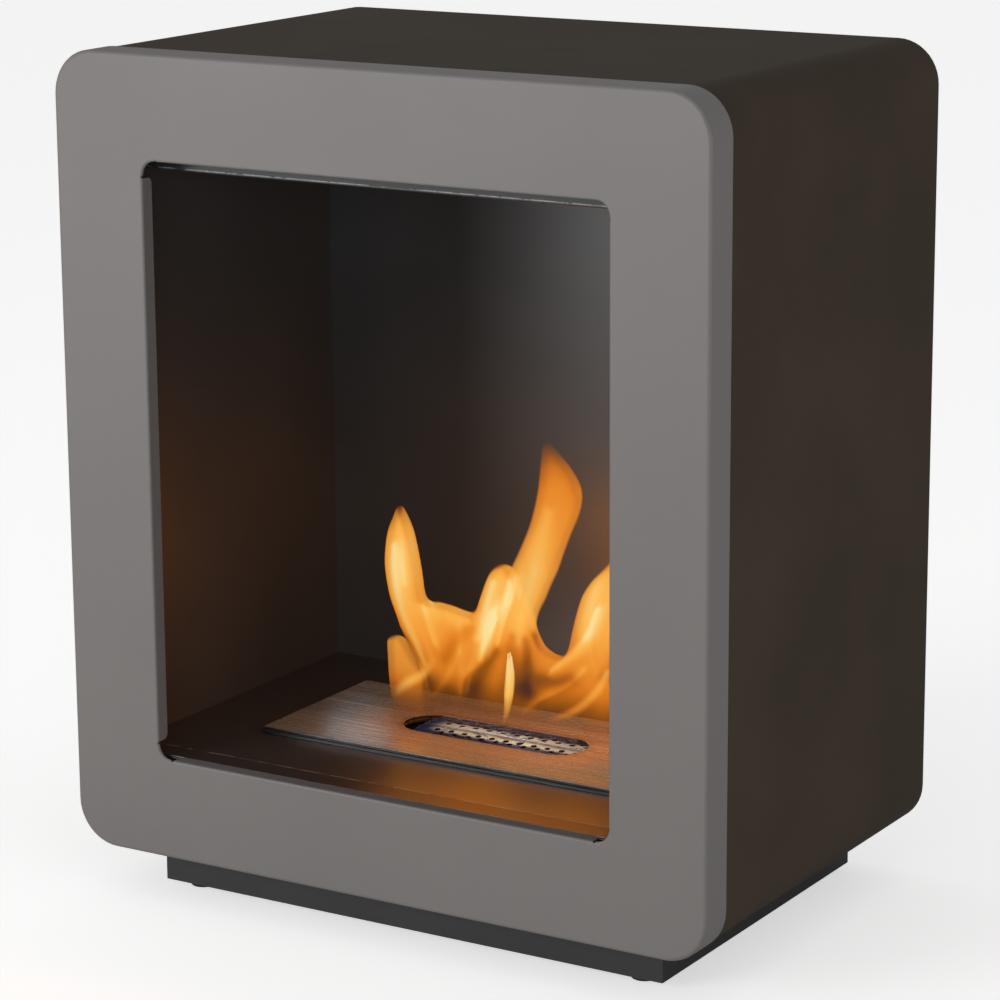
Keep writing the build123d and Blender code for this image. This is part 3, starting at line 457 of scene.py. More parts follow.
# Distance from the slot: x is clamped to the slot's straight half, and the radius is taken off what is left
def slotDistance(place, v):
    parts = splitPlace(place)
    sideways = calculate("ABSOLUTE", parts["X"])
    beyond = calculate("MAXIMUM", calculate("SUBTRACT", sideways, v["slotHalfLength"]), 0.0)
    across = calculate("SUBTRACT", parts["Y"], v["slotMiddleY"])
    squares = calculate("MULTIPLY_ADD", across, across, calculate("MULTIPLY", beyond, beyond))
    return calculate("SUBTRACT", calculate("SQRT", squares), v["slotRadius"])


# Cut edges and hole walls of a level sheet are darkened, partly the cut's own dark oxide and partly painted
# shade inside holes and the slot: where the normal's Z is small
def darkenCuts(base, colour):
    upright = remap(calculate("ABSOLUTE", normalZ(base.id_data)), 0.3, 0.8, 0.92, 0.0)
    return blendColours(upright, base, colour)


# Brushed along X; copper and then violet heat colours grow towards the slot, the copper also a painted
# reflection of the flames' glow; the edges carry a painted highlight, and the laser-cut edges and the slot's
# walls are dark, partly their oxide and partly painted shade
def makeBurnerSteel(v):
    material, skin, place = startMaterial("brushed_stainless", Metallic=v["metallic"])
    lines = placeGroup(brushedLines, place, Squeeze=v["squeeze"])
    drift, waves = v["tintDrift"]
    grain = placeGroup(powderGrain, place, Grains_per_metre=waves)
    nearer = calculate("SUBTRACT", slotDistance(place, v), drift / 2)
    distance = calculate("MULTIPLY_ADD", grain["Grain"], drift, nearer)
    colour = v["plain"]
    # copper, partly a painted reflection of the flames' glow, then violet, grow towards the slot
    for tint, share, near, far in (v["copperTintAndGlow"], v["hot"]):
        colour = blendColours(remap(distance, near, far, share, 0.0), colour, tint)
    for mask, (tone, share) in ((lines["Lines"], v["lines"]), (lines["Bands"], v["bands"])):
        colour = blendColours(remap(mask, 0.0, 1.0, 0.0, share), colour, tone)
    # a painted highlight on the edges, then cut edges darkened, partly painted shade in the slot's walls
    colour = darkenCuts(paintEdgeWearAndHighlight(place, v, colour), v["cutEdge"])
    endSkin(skin, v, colour, lines["Lines"], lines["Lines"])
    return material


sharedMetal = {"wear": (0.0006, 0.6, (0.80, 0.79, 0.77)), "grain": 420.0}
sheetMetals = {
    "plain_stainless": {
        **sharedMetal, "tones": ((0.17, 0.165, 0.16), (0.27, 0.265, 0.255)), "roughness": (0.34, 0.48),
        "squeeze": (9.0, 600.0, 600.0), "bump": (0.10, 0.00008),
    },
    "zinc_plated_steel": {
        **sharedMetal, "tones": ((0.40, 0.405, 0.40), (0.58, 0.58, 0.56)), "roughness": (0.26, 0.40),
        "squeeze": (700.0, 700.0, 700.0), "bump": (0.06, 0.00008),
    },
    "rivet_aluminium": {
        **sharedMetal, "tones": ((0.42, 0.42, 0.43), (0.60, 0.60, 0.61)), "roughness": (0.32, 0.46),
        "squeeze": (900.0, 900.0, 900.0), "bump": (0.08, 0.00008),
    },
}


# Plain sheet or plated steel: tone and roughness drift with the rolling lines, rubbed edges are brighter
def makeSheetMetal(name, v):
    material, skin, place = startMaterial(name, Metallic=1.0)
    lines = placeGroup(brushedLines, place, Squeeze=v["squeeze"])["Lines"]
    grain = placeGroup(powderGrain, place, Grains_per_metre=v["grain"])
    base = blendColours(weigh(0.5, lines, grain["Cloud"]), *v["tones"])
    endSkin(skin, v, paintEdgeWearAndHighlight(place, v, base), lines, grain["Grain"], 0.3, 0.7)
    return material


# Heat colours of the two sheets in the slot, with painted light among them: on the baffle the bands across
# are heat tints mixed with painted highlights and painted reflections of the dark firebox, its ridge line and
# the holes' pale rims are painted highlights, and the dark left end of each sheet is painted shade. "across"
# goes from a sheet's near edge to its far edge in shares of its width, and its borders waver; "left" is a
# colour and where it starts and is full; "patch" is a colour, from and to which level of its noise, and its
# share;
# "ridge" is a colour and half its width
sharedTint = {
    # the pale edge colour paints highlights on the holes' rims
    "wear": (0.0007, 0.6, (0.95, 0.92, 0.86)), "cutEdge": (0.012, 0.011, 0.012), "grain": 900.0,
    "bump": (0.10, 0.00008), "ridgeEdge": 0.0002,
}
tintedSteel = {
    "tinted_stainless": {
        **sharedTint,
        # heat tints, with painted highlights in the pale bands and painted reflections of the dark firebox in
        # the dark ones
        "across": (
            (0.00, (0.030, 0.024, 0.050)), (0.07, (0.060, 0.050, 0.120)), (0.13, (0.45, 0.33, 0.26)),
            (0.20, (0.98, 0.92, 0.82)), (0.31, (0.92, 0.80, 0.62)), (0.39, (0.46, 0.34, 0.26)),
            (0.49, (0.12, 0.09, 0.09)), (0.53, (0.22, 0.17, 0.15)), (0.58, (0.70, 0.56, 0.42)),
            (0.65, (0.98, 0.93, 0.85)), (0.84, (0.90, 0.76, 0.56)), (0.90, (0.34, 0.20, 0.14)),
            (0.95, (0.060, 0.036, 0.060)), (1.00, (0.015, 0.014, 0.022)),
        ),
        # the near-white ridge line is a painted highlight, the dark navy left end painted shade
        "width": 0.032, "waver": 0.0028, "ridge": ((1.0, 0.99, 0.97), 0.0008),
        "left": ((0.035, 0.045, 0.130), -0.043, -0.060), "patch": ((0.075, 0.080, 0.240), 0.54, 0.64, 0.75),
        "roughness": (0.18, 0.30), "metallic": 0.55,
    },
    "blued_stainless": {
        **sharedTint,
        "across": ((0.0, (0.030, 0.034, 0.085)), (0.5, (0.085, 0.090, 0.190)), (1.0, (0.030, 0.030, 0.070))),
        "width": 0.046, "waver": 0.0030, "ridge": ((0.1, 0.1, 0.2), 0.0),
        # the near-black left end is painted shade
        "left": ((0.006, 0.006, 0.014), -0.066, -0.080), "patch": ((0.10, 0.07, 0.12), 0.55, 0.70, 0.5),
        "roughness": (0.20, 0.32), "metallic": 0.94,
    },
}


# A colour ramp with its own stops
def addRamp(source, stops):
    ramp = addStep("ShaderNodeValToRGB", i0=source)
    elements = ramp.color_ramp.elements
    while len(elements) < len(stops):
        elements.new(0.5)
    for element, (position, colour) in zip(elements, stops):
        element.position = position
        element.color = (*colour, 1)
    return ramp.outputs[0]


# A ramp runs across the sheet, on the baffle heat tints with painted highlights and painted reflections,
# wavering with a soft noise, patches of another tint lie over it, the left end is darkened as painted shade,
# the ridge and the holes' rims carry painted highlights, and cut edges are dark, partly painted shade in
# holes
def makeTintedSteel(name, v):
    material, skin, place = startMaterial(name, Metallic=v["metallic"])
    parts = splitPlace(place)
    across = calculate("SUBTRACT", parts["Y"], burnerSteel["slotMiddleY"])
    waves = addNoise(place, Scale=95.0, Detail=2.0, Roughness=0.55, Distortion=0.5)
    patches = addNoise(place, Scale=150.0, Detail=1.5, Roughness=0.5, Distortion=0.8)
    waver = calculate("MULTIPLY", calculate("SUBTRACT", waves, 0.5), v["waver"] * 2)
    share = calculate("MULTIPLY_ADD", calculate("ADD", across, waver), 1 / v["width"], 0.5)
    patch, patchFrom, patchTo, patchShare = v["patch"]
    patchMask = remap(patches, patchFrom, patchTo, 0.0, patchShare)
    patched = blendColours(patchMask, addRamp(share, v["across"]), patch)
    # the left end darkens: painted shade
    left, leftFrom, leftTo = v["left"]
    leftwards = calculate("MULTIPLY", calculate("ADD", parts["X"], waver), -1.0)
    leftShadeMask = remap(leftwards, -leftFrom, -leftTo)
    hot = blendColours(leftShadeMask, patched, left)
    # a line along the ridge: a painted highlight on the baffle
    ridge, halfWidth = v["ridge"]
    ridgeMask = remap(calculate("ABSOLUTE", across), halfWidth, halfWidth + v["ridgeEdge"], 1.0, 0.0)
    outsideLeftShade = calculate("SUBTRACT", 1.0, leftShadeMask)
    ridged = blendColours(calculate("MULTIPLY", ridgeMask, outsideLeftShade), hot, ridge)
    colour = darkenCuts(paintEdgeWearAndHighlight(place, v, ridged), v["cutEdge"])
    grain = placeGroup(powderGrain, place, Grains_per_metre=v["grain"])["Grain"]
    endSkin(skin, v, colour, grain, grain, 0.3, 0.7)
    return material


galvanised = {
    "cells": 95.0, "tones": ((0.33, 0.345, 0.355), (0.50, 0.51, 0.52)), "frost": (0.60, 0.61, 0.61),
    "wear": (0.0006, 0.5, (0.75, 0.75, 0.74)), "roughness": (0.34, 0.56), "bump": (0.08, 0.00008),
}


# Hot-dip zinc: every spangle has its own tone and roughness
def makeGalvanised(v):
    material, skin, place = startMaterial("galvanised_steel", Metallic=1.0)
    spangle = placeGroup(zincSpangle, place, Cells_per_metre=v["cells"])
    base = blendColours(spangle["Tone"], *v["tones"])
    frosted = blendColours(remap(spangle["Frost"], 0.4, 0.7, 0.0, 0.3), base, v["frost"])
    endSkin(skin, v, paintEdgeWearAndHighlight(place, v, frosted), spangle["Frost"], spangle["Tone"])
    return material


footPlastic = {
    "specular": 0.4, "grain": 2200.0, "tones": ((0.026, 0.017, 0.014), (0.044, 0.031, 0.026)),
    "wear": (0.0010, 0.6, (0.14, 0.12, 0.105)), "roughness": (0.45, 0.65), "bump": (0.25, 0.00012),
}


# Moulded foot plastic: fine spark-eroded grain, scuffed pale where it rubs
def makeFootPlastic(v):
    material, skin, place = startMaterial("foot_plastic", Specular_IOR_Level=v["specular"])
    grain = placeGroup(powderGrain, place, Grains_per_metre=v["grain"])["Grain"]
    wornAndLit = paintEdgeWearAndHighlight(place, v, blendColours(grain, *v["tones"]))
    endSkin(skin, v, wornAndLit, grain, grain, 0.3, 0.7)
    return material


ceramicFibre = {
    "specular": 0.1, "along": (140.0, 1300.0, 1300.0), "crossing": (1200.0, 170.0, 1200.0),
    "tones": ((0.58, 0.555, 0.50), (0.86, 0.845, 0.80)), "scorched": (0.36, 0.29, 0.21),
    "roughness": (0.95, 0.8), "bump": (0.6, 0.0006),
}


# Ceramic fibre: matted strands from two stretched noises crossing each other, a few scorched patches on top
def makeCeramicFibre(v):
    material, skin, place = startMaterial("ceramic_fibre", Specular_IOR_Level=v["specular"])
    along = placeGroup(brushedLines, place, Squeeze=v["along"])["Lines"]
    crossing = placeGroup(brushedLines, place, Squeeze=v["crossing"])["Lines"]
    scorch = addNoise(place, Scale=24.0, Detail=4.0, Roughness=0.6)
    strands = calculate("MAXIMUM", along, crossing)
    base = blendColours(strands, *v["tones"])
    burnt = blendColours(remap(scorch, 0.55, 0.75, 0.0, 0.55), base, v["scorched"])
    endSkin(skin, v, burnt, strands, strands)
    return material


vapour = {
    "stretch": (34.0, 20.0, 9.0),      # waves per metre of the slow drift along X, Y and Z
    "drift": 0.03,                     # heat that the drift adds or takes
    "glow": (
        (0.00, (0.055, 0.025, 0.030)), (0.12, (0.140, 0.042, 0.012)), (0.30, (0.430, 0.115, 0.0060)),
        (0.45, (0.760, 0.210, 0.0150)), (0.58, (0.880, 0.300, 0.034)), (0.70, (0.970, 0.415, 0.060)),
        (0.80, (1.000, 0.490, 0.092)), (0.90, (1.000, 0.630, 0.190)), (1.00, (1.000, 0.790, 0.350)),
    ),
}


# Burning vapour: it only glows. Heat and veil are attributes worked out with the shape, and a slow upward
# drift moves the heat a little
def makeFlameVapour(v):
    material, skin, place = startMaterial("flame", Base_Color=(0, 0, 0), Roughness=1.0,
                                          Specular_IOR_Level=0.0, Emission_Strength=1.0)
    heat, veil = (addNode(skin.id_data, "ShaderNodeAttribute", {"attribute_name": name}).outputs["Fac"]
                  for name in ("flameHeat", "flameVeil"))
    rising = scalePlace(place, v["stretch"])
    drift = addNoise(rising, Scale=1.0, Detail=2.0, Roughness=0.45, Distortion=0.5)
    moved = calculate("ADD", heat, remap(drift, 0.3, 0.7, -v["drift"], v["drift"]))
    fill(skin, Emission_Color=addRamp(moved, v["glow"]), Alpha=veil)
    return material


finishes = {
    **{name: makeCoating(name, values) for name, values in coatings.items()},
    **{name: makeSheetMetal(name, values) for name, values in sheetMetals.items()},
    **{name: makeTintedSteel(name, values) for name, values in tintedSteel.items()},
    "brushed_stainless": makeBurnerSteel(burnerSteel),
    "galvanised_steel": makeGalvanised(galvanised),
    "foot_plastic": makeFootPlastic(footPlastic),
    "ceramic_fibre": makeCeramicFibre(ceramicFibre),
    "flame": makeFlameVapour(vapour),
}
ownFinishes = {"inner_front_frame": "frame_black"}
for part in frame["record"]["subparts"]:
    finishName = ownFinishes.get(part["node"], part["material_slot"])
    for materialSlot in frame["nodes"][part["node"]].material_slots:
        materialSlot.material = finishes[finishName]
print("finishes put on the CAD nodes")


# A mesh object from whole arrays of points and lists of faces, smooth except over corners sharper than the
# angle, in degrees
def makePiece(name, points, faces, sharpAngle=32):
    mesh = bpy.data.meshes.new(name)
    mesh.from_pydata(np.asarray(points, float).tolist(), [], faces)
    mesh.validate()
    mesh.shade_smooth()
    mesh.set_sharp_from_angle(angle=math.radians(sharpAngle))
    piece = bpy.data.objects.new(name, mesh)
    bpy.context.scene.collection.objects.link(piece)
    return piece


# A piece's finish, its body and the CAD nodes that it stands for
def dress(piece, body, finish, *replaced):
    piece.data.materials.append(finishes[finish])
    if replaced:
        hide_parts(*replaced)
    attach(piece, body)


# Flames. Outlines and folds are points (x, z) or (x, z, half width) in millimetres on the curtain's plane
flameValues = {
    "cell": 0.0013,                # grid step of a curtain
    "lowest": 0.1250,
    "main": {"plane": -0.0175, "thickness": 0.012, "margin": 0.004, "airHeat": 0.5e-5},
    "front": {"plane": -0.026, "thickness": 0.005, "margin": 0.009, "airHeat": 0.7e-5},
    "thinnest": 0.0002,            # half the thickness where the veil is nothing
    "leastVeil": 0.006,            # a cell of the grid needs more veil than this at a corner
    "slant": (-0.611, -0.285),     # how the curtain slides sideways and down for each metre of depth
    "plumbTo": 0.125, "swayRise": 0.06,    # it hangs plumb up to a height, then its waves of depth set in
    "sways": ((0.009, 0.135, 0.230), (0.005, -0.210, 0.095)),     # a wave's height, its length along X and Z
    "anchor": 0.11815,             # just above the regulator slide, whose shutting sinks the flames there
    "leftWhenShut": 0.0095,
    "airWeight": 1e-5,             # of what stands for heat where nothing burns
    "edgeStart": 0.35,             # how far into its soft edge a sheet is at its outline
    "rimDepth": 0.0030,            # over which the rim's loss of heat dies away
    "heatSpill": (1e-4, 0.002),    # a sheet's heat is felt outside it: weight, and reach in metres
    "hollowFall": 1.1, "foldFall": 1.2,    # how quickly a hollow or a fold dies away across its width
    "heatHold": 1.5, "veilHold": 3,        # a fold adds its all where this many times the veil is over one
    "strokeWidth": 1.15, "strokeRimLoss": 0.20,
    "strokeStops": (0.0, 0.35, 0.65, 1.0),     # shares of a stroke's length, from foot over middle to end
    "strokeAir": 1e-6,             # weight of a stroke's heat far away from it
}

mainSheets = (
    # closed outline; softness of its edge; rim = heat lost at the edge; (z, heat) and (z, veil) going up
    {   # broad body with the left tongue, the two-headed middle and the right tongue
        "outline": ((-82, 299), (-76, 291), (-71, 279), (-67, 263), (-64, 248), (-61, 230), (-55, 225.5),
                    (-48, 226), (-37, 225), (-25, 222.5), (-17, 222), (-11, 226), (-7, 236), (-2, 249),
                    (2, 257), (7, 262), (13, 264), (19, 262), (24, 254), (30, 240), (37, 228), (40, 218),
                    (47, 205), (54, 200), (61, 198), (67, 199), (72, 206), (76, 222), (80, 237), (85, 251),
                    (93, 263), (102, 272), (110, 281), (117, 296), (121, 318), (127, 300), (134, 275),
                    (137, 245), (131, 205), (122, 170), (112, 135), (60, 118), (0, 118), (-40, 118),
                    (-62, 140), (-60, 160), (-66, 172), (-73, 184), (-79, 196), (-84.5, 211), (-91, 228),
                    (-95, 250), (-94, 268), (-91, 281), (-87, 290)),
        "soft": 3.6, "rim": 0.32,
        "heats": ((125, 0.02), (138, 0.10), (152, 0.26), (172, 0.45), (195, 0.56), (215, 0.66), (235, 0.73),
                  (265, 0.76), (290, 0.72)),
        "veils": ((125, 0.0), (138, 0.22), (152, 0.60), (172, 0.90), (195, 0.97), (280, 0.97), (298, 0.75)),
    },
    {   # tall leaning tongue
        "outline": ((51, 367), (57, 362), (66, 354), (73, 346), (79, 337), (81.5, 328), (80.5, 318),
                    (77, 308), (71, 295), (65, 280), (60, 266), (54, 253), (49, 241), (43, 229), (40, 216),
                    (41, 200), (30, 175), (12, 180), (6, 200), (10, 230), (16, 250), (20, 261), (28, 277),
                    (37, 297), (42, 313), (45.5, 329), (47, 342), (48, 353), (48.5, 362)),
        "soft": 5.0, "rim": 0.20,
        "heats": ((150, 0.24), (175, 0.44), (200, 0.62), (225, 0.70), (262, 0.71), (290, 0.66), (318, 0.56),
                  (345, 0.46), (366, 0.32)),
        "veils": ((150, 0.40), (175, 0.85), (330, 0.96), (348, 0.84), (360, 0.50), (368, 0.15)),
    },
    {   # low lobe in front at the left
        "outline": ((-94, 187), (-92, 191), (-86, 192.5), (-80, 190), (-74, 184), (-69, 176), (-63, 166),
                    (-59, 154), (-58, 136), (-62, 118), (-90, 118), (-91, 140), (-93, 165)),
        "soft": 3.6, "rim": 0.05,
        "heats": ((125, 0.02), (148, 0.34), (168, 0.60), (192, 0.68)),
        "veils": ((125, 0.0), (140, 0.40), (160, 0.78), (192, 0.86)),
    },
)
# Brighter folds: curve points, reach to the left and right of the way they run, heat and veil that they add
mainFolds = (
    (((-85, 268, 3.0), (-85, 252, 4.6), (-83, 234, 4.6), (-79, 218, 3.8), (-73, 205, 3.0), (-66, 192, 2.6),
      (-58, 175, 2.0)), (1.7, 0.9), 0.24, 0),
    (((-80, 290, 3.6), (-78, 274, 5), (-76, 257, 5), (-74, 240, 4)), (1.0, 1.0), 0.11, 0),
    (((-63, 243, 1.4), (-58.5, 225, 2.0), (-53, 208, 2.4), (-48, 194, 2.2)), (2.6, 0.8), 0.14, 0),
    (((-57, 224, 3.0), (-44, 222.5, 3.5), (-30, 221, 3.2), (-17, 218, 2.6)), (0.8, 2.6), 0.14, 0),
    (((-24, 156, 1.6), (-21, 171, 2.2), (-8, 185, 2.6), (1, 200, 3.0), (8, 222, 3.0)), (2.6, 0.9), 0.2, 0.15),
    (((-24, 214, 3.5), (-23, 196, 4.5), (-24, 176, 3.5)), (1.0, 1.0), 0.07, 0),
    (((-5, 188, 3), (0, 207, 5.0), (9, 225, 6.0), (17, 239, 5.5), (21, 253, 3.6)), (1.0, 1.0), 0.24, 0),
    (((-8, 204, 4), (-3, 219, 5.5), (1, 234, 5.5), (6, 250, 5)), (1.0, 1.0), 0.20, 0),
    (((11, 202, 1.6), (17, 222, 2.2), (24, 240, 2.4), (27, 256, 2.0)), (2.2, 0.8), 0.16, 0),
    (((28, 206, 5), (33, 224, 7.0), (37, 242, 7.5), (43, 264, 7.5), (50, 290, 6.5), (56, 312, 5)), (1.2, 1.0),
     0.13, 0),
    (((98, 270, 9), (95, 254, 10), (91, 238, 9), (88, 222, 7)), (1.0, 1.0), 0.14, 0),
    (((58, 187, 1.6), (70, 198, 2.2), (82, 210, 2.6), (92, 224, 2.6), (99, 242, 2.2)), (0.9, 2.4),
     0.22, 0.05),
    (((43, 220, 1.8), (47, 209, 2.2), (53, 203, 2.4), (61, 200.5, 2.2), (67, 202, 1.8)), (0.8, 2.6), 0.16, 0),
    (((-50, 150, 1.4), (-40, 163, 2.0), (-30, 178, 2.4), (-24, 192, 2.0)), (2.4, 0.9), 0.12, 0.20),
    (((34, 150, 1.4), (44, 160, 1.8), (58, 168, 2.2), (74, 178, 2.2), (88, 192, 1.8)), (2.4, 0.9),
     0.14, 0.22),
)
# Darker or thinner places: curve points, heat taken away, and how much of the veil is left in their middle
mainHollows = (
    (((-67, 176, 3.5), (-74, 187, 4.0), (-81, 198, 3.0)), 0.24, 0.50),
    (((-14, 212, 6), (-27, 200, 8), (-37, 184, 8)), 0.15, 1.0),
    (((9, 196, 5), (-3, 182, 8), (-14, 164, 10)), 0.24, 0.92),
    (((23, 208, 5), (23, 190, 8), (24, 170, 12)), 0.22, 0.85),
    (((36, 208, 3.5), (37, 190, 6), (36, 168, 9)), 0.28, 0.85),
    (((50, 178, 7), (63, 177, 7), (76, 183, 6)), 0.20, 0.85),
    (((104, 188, 4), (112, 196, 6), (120, 210, 8)), 0.26, 0.75),
    (((-54, 156, 9), (-38, 152, 10), (-20, 148, 10)), 0.06, 0.70),
    (((52, 147, 9), (76, 145, 9)), 0.05, 0.65),
)
# Thin bright folds nearest to the camera
frontStrokes = (
    # curve points, softness of their edge, veil at the foot, middle and end, heat at the foot and end
    (((17.5, 140, 1.6), (20.5, 153, 2.8), (22, 166, 4.0), (23, 178, 3.9), (23, 188, 2.6), (22.6, 197, 0.6)),
     0.62, (0.04, 0.97, 0.97), (0.74, 1.10)),
    (((-83, 148, 4.0), (-76, 156, 6.0), (-67, 162, 6.4), (-60, 166, 5.6), (-52, 174, 5.6), (-44, 184, 5.6)),
     1.0, (0.05, 0.66, 0.0), (0.86, 0.70)),
    (((58, 148, 3.0), (72, 154, 4.2), (84, 161, 5.0), (94, 170, 5.4), (103, 181, 5.2), (110, 195, 4.4)),
     1.0, (0.05, 0.60, 0.70), (0.52, 0.78)),
)


# Points along a Catmull-Rom curve: in each span the four neighbours are weighted by the usual cubic of its
# share; a closed curve takes its first and last neighbours from its own other end
def smoothCurve(points, share, closed=False):
    keys = np.asarray(points, float)
    if closed:
        padded = np.concatenate([keys[-1:], keys, keys[:2]])
    else:
        padded = np.concatenate([2 * keys[:1] - keys[1:2], keys, 2 * keys[-1:] - keys[-2:-1]])
    along = share * (len(padded) - 3)
    span = np.minimum(along.astype(int), len(padded) - 4)
    t = (along - span)[:, None]
    a, b, c, d = (padded[span + step] for step in range(4))
    return 0.5 * (2 * b + (c - a) * t + (2 * a - 5 * b + 4 * c - d) * t**2 + (3 * b - a - 3 * c + d) * t**3)


# A fold's field: each grid point takes the smallest ratio of its distance from the curve to the half width
# there, which each side stretches by its own reach, and the share of the curve at which that happens
def foldField(x, z, points, reach=(1.0, 1.0), samples=80, leastWidth=0.0004):
    share = np.linspace(0, 1, samples)
    curve = smoothCurve(points, share) * 0.001
    way = np.gradient(curve[:, :2], axis=0)
    alongX, alongZ = x[..., None] - curve[:, 0], z[..., None] - curve[:, 1]
    leftward = way[:, 0] * alongZ - way[:, 1] * alongX > 0
    width = np.maximum(curve[:, 2], leastWidth) * np.where(leftward, reach[0], reach[1])
    ratio = np.hypot(alongX, alongZ) / width
    return ratio.min(-1), share[ratio.argmin(-1)]


# Signed depth inside a closed outline: the distance to its nearest short straight piece, positive where a
# line to the right crosses the outline an odd number of times. The pieces are taken a batch at a time
def depthInside(x, z, outline, samples=300, batch=50):
    curve = smoothCurve(outline, np.linspace(0, 1, samples + 1), closed=True) * 0.001
    nearest, crossings = np.full(x.shape, np.inf), np.zeros(x.shape, int)
    for first in range(0, samples, batch):
        a, b = curve[first:first + batch], curve[first + 1:first + batch + 1]
        way = b - a
        offX, offZ = x[..., None] - a[:, 0], z[..., None] - a[:, 1]
        t = np.clip((offX * way[:, 0] + offZ * way[:, 1]) / np.maximum((way**2).sum(-1), 1e-12), 0, 1)
        nearest = np.minimum(nearest, np.hypot(offX - t * way[:, 0], offZ - t * way[:, 1]).min(-1))
        spans = (a[:, 1] > z[..., None]) != (b[:, 1] > z[..., None])
        rise = np.where(np.abs(way[:, 1]) < 1e-12, 1e-12, way[:, 1])
        crossings += (spans & (offZ / rise * way[:, 0] > offX)).sum(-1)
    return np.where(crossings % 2 == 1, nearest, -nearest)


# Smooth step from 0 to 1: three times the square less twice the cube
def softStep(value):
    t = np.clip(value, 0, 1)
    return t * t * (3 - 2 * t)


# The value at a height, from steps (height in millimetres, value)
def riseOf(z, steps):
    heights, values = np.transpose(steps)
    return np.interp(z, heights * 0.001, values)


# The grid of a curtain, wide enough for all the points of its outlines or curves, and clear air all over it:
# all light passes, and the heat weighs next to nothing
def curtainGrid(shapes, curtain, v):
    spread = np.concatenate([np.asarray(points, float)[:, :2] for points in shapes]) * 0.001
    low, high = spread.min(0) - curtain["margin"], spread.max(0) + curtain["margin"]
    xs = np.arange(low[0], high[0], v["cell"])
    zs = np.arange(v["lowest"], high[1], v["cell"])
    x, z = np.meshgrid(xs, zs, indexing="ij")
    return x, z, np.ones_like(x), np.full(x.shape, v["airWeight"]), np.full(x.shape, curtain["airHeat"])


# Heat and veil of the broad curtain: the sheets lie over each other, each with its own rise of heat and veil
# and a cooler rim; then hollows cool and thin it, and folds warm it with a bell across their width
def mainFields(sheets, folds, hollows, v):
    x, z, passed, weight, heat = curtainGrid([sheet["outline"] for sheet in sheets], v["main"], v)
    spill, spillReach = v["heatSpill"]
    for sheet in sheets:
        depth = depthInside(x, z, sheet["outline"])
        cover = riseOf(z, sheet["veils"]) * softStep(v["edgeStart"] + depth / (0.001 * sheet["soft"]))
        own = riseOf(z, sheet["heats"]) - sheet["rim"] * np.exp(-np.maximum(depth, 0) / v["rimDepth"])
        share = cover + spill * np.exp(depth / spillReach)
        heat = heat * (1 - cover) + own * share
        weight = weight * (1 - cover) + share
        passed *= 1 - cover
    heat, veil = heat / weight, 1 - passed
    for points, loss, left in hollows:
        dip = np.exp(-v["hollowFall"] * foldField(x, z, points)[0]**2)
        veil *= 1 - (1 - left) * dip
        heat -= loss * dip
    for points, reach, gain, thicker in folds:
        glow = np.exp(-v["foldFall"] * foldField(x, z, points, reach)[0]**2)
        heat += gain * glow * np.minimum(1, v["heatHold"] * veil)
        veil += thicker * glow * (1 - veil) * np.minimum(1, v["veilHold"] * veil)
    return x, z, np.clip(heat, 0, 1), veil


# Heat and veil of strokes drawn on their own: each fades along its length and across its width
def strokeFields(strokes, v):
    x, z, passed, weight, heat = curtainGrid([stroke[0] for stroke in strokes], v["front"], v)
    for points, soft, (foot, middle, end), (heatBelow, heatAbove) in strokes:
        ratio, share = foldField(x, z, points)
        across = softStep((v["strokeWidth"] - ratio) / (soft * v["strokeWidth"]))
        along = np.interp(share, v["strokeStops"], (foot, middle, middle, end))
        near = np.exp(-ratio**2) + v["strokeAir"]
        rimLoss = v["strokeRimLoss"] * np.clip(ratio, 0, 1) ** 2
        heat += near * (heatBelow + (heatAbove - heatBelow) * share - rimLoss)
        weight += near
        passed *= 1 - along * across
    return x, z, np.clip(heat / weight, 0, 1), 1 - passed


# A flame curtain: front and back stand off a wavy middle sheet by half the local thickness and meet along the
# outline, where the veil is nothing, so the shell is closed
def makeCurtain(name, fields, place, v):
    x, z, heat, veil = fields
    inside = veil > v["leastVeil"]
    cell = inside[:-1, :-1] | inside[1:, :-1] | inside[:-1, 1:] | inside[1:, 1:]
    around = np.zeros(x.shape, int)
    for i, j in ((0, 0), (1, 0), (0, 1), (1, 1)):
        around[i:i + cell.shape[0], j:j + cell.shape[1]] += cell
    rim = around < 4
    half = np.where(rim, 0, 0.5 * place["thickness"] * np.sqrt(np.clip(veil, 0, 1)) + v["thinnest"])
    waves = sum(height * np.sin(2 * np.pi * (x / alongX + z / alongZ))
                for height, alongX, alongZ in v["sways"])
    sway = softStep((z - v["plumbTo"]) / v["swayRise"]) * waves
    slideX, slideZ = v["slant"]
    frontY, frontZ = place["plane"] + sway - half, np.maximum(z + slideZ * sway, v["lowest"])
    front = np.stack([x + slideX * sway, frontY, frontZ], -1)
    back = front + np.stack([0 * half, 2 * half, 0 * half], -1)
    ahead = np.arange(x.size).reshape(x.shape)
    behind = np.where(rim, ahead, ahead + x.size)
    backwards = gridFaces(behind)[cell.ravel()][:, [0, 3, 2, 1]]
    faces = np.concatenate([gridFaces(ahead)[cell.ravel()], backwards])
    points = np.concatenate([front.reshape(-1, 3), back.reshape(-1, 3)])
    layer = 1 - np.sqrt(np.clip(1 - veil, 0, 1))       # two layers together give the veil
    layer = np.where(rim, 0, layer).ravel()
    used, compact = np.unique(faces, return_inverse=True)
    curtain = makePiece(name, points[used], compact.reshape(-1, 4).tolist())
    for attribute, values in (("flameHeat", heat.ravel()), ("flameVeil", layer)):
        made = curtain.data.attributes.new(attribute, "FLOAT", "POINT")
        made.data.foreach_set("value", np.tile(values, 2)[used].astype(np.float32))
    curtain.visible_shadow = False
    curtain.light_linking.receiver_collection = litByFlames
    dress(curtain, "burner", "flame")
    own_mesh(curtain)


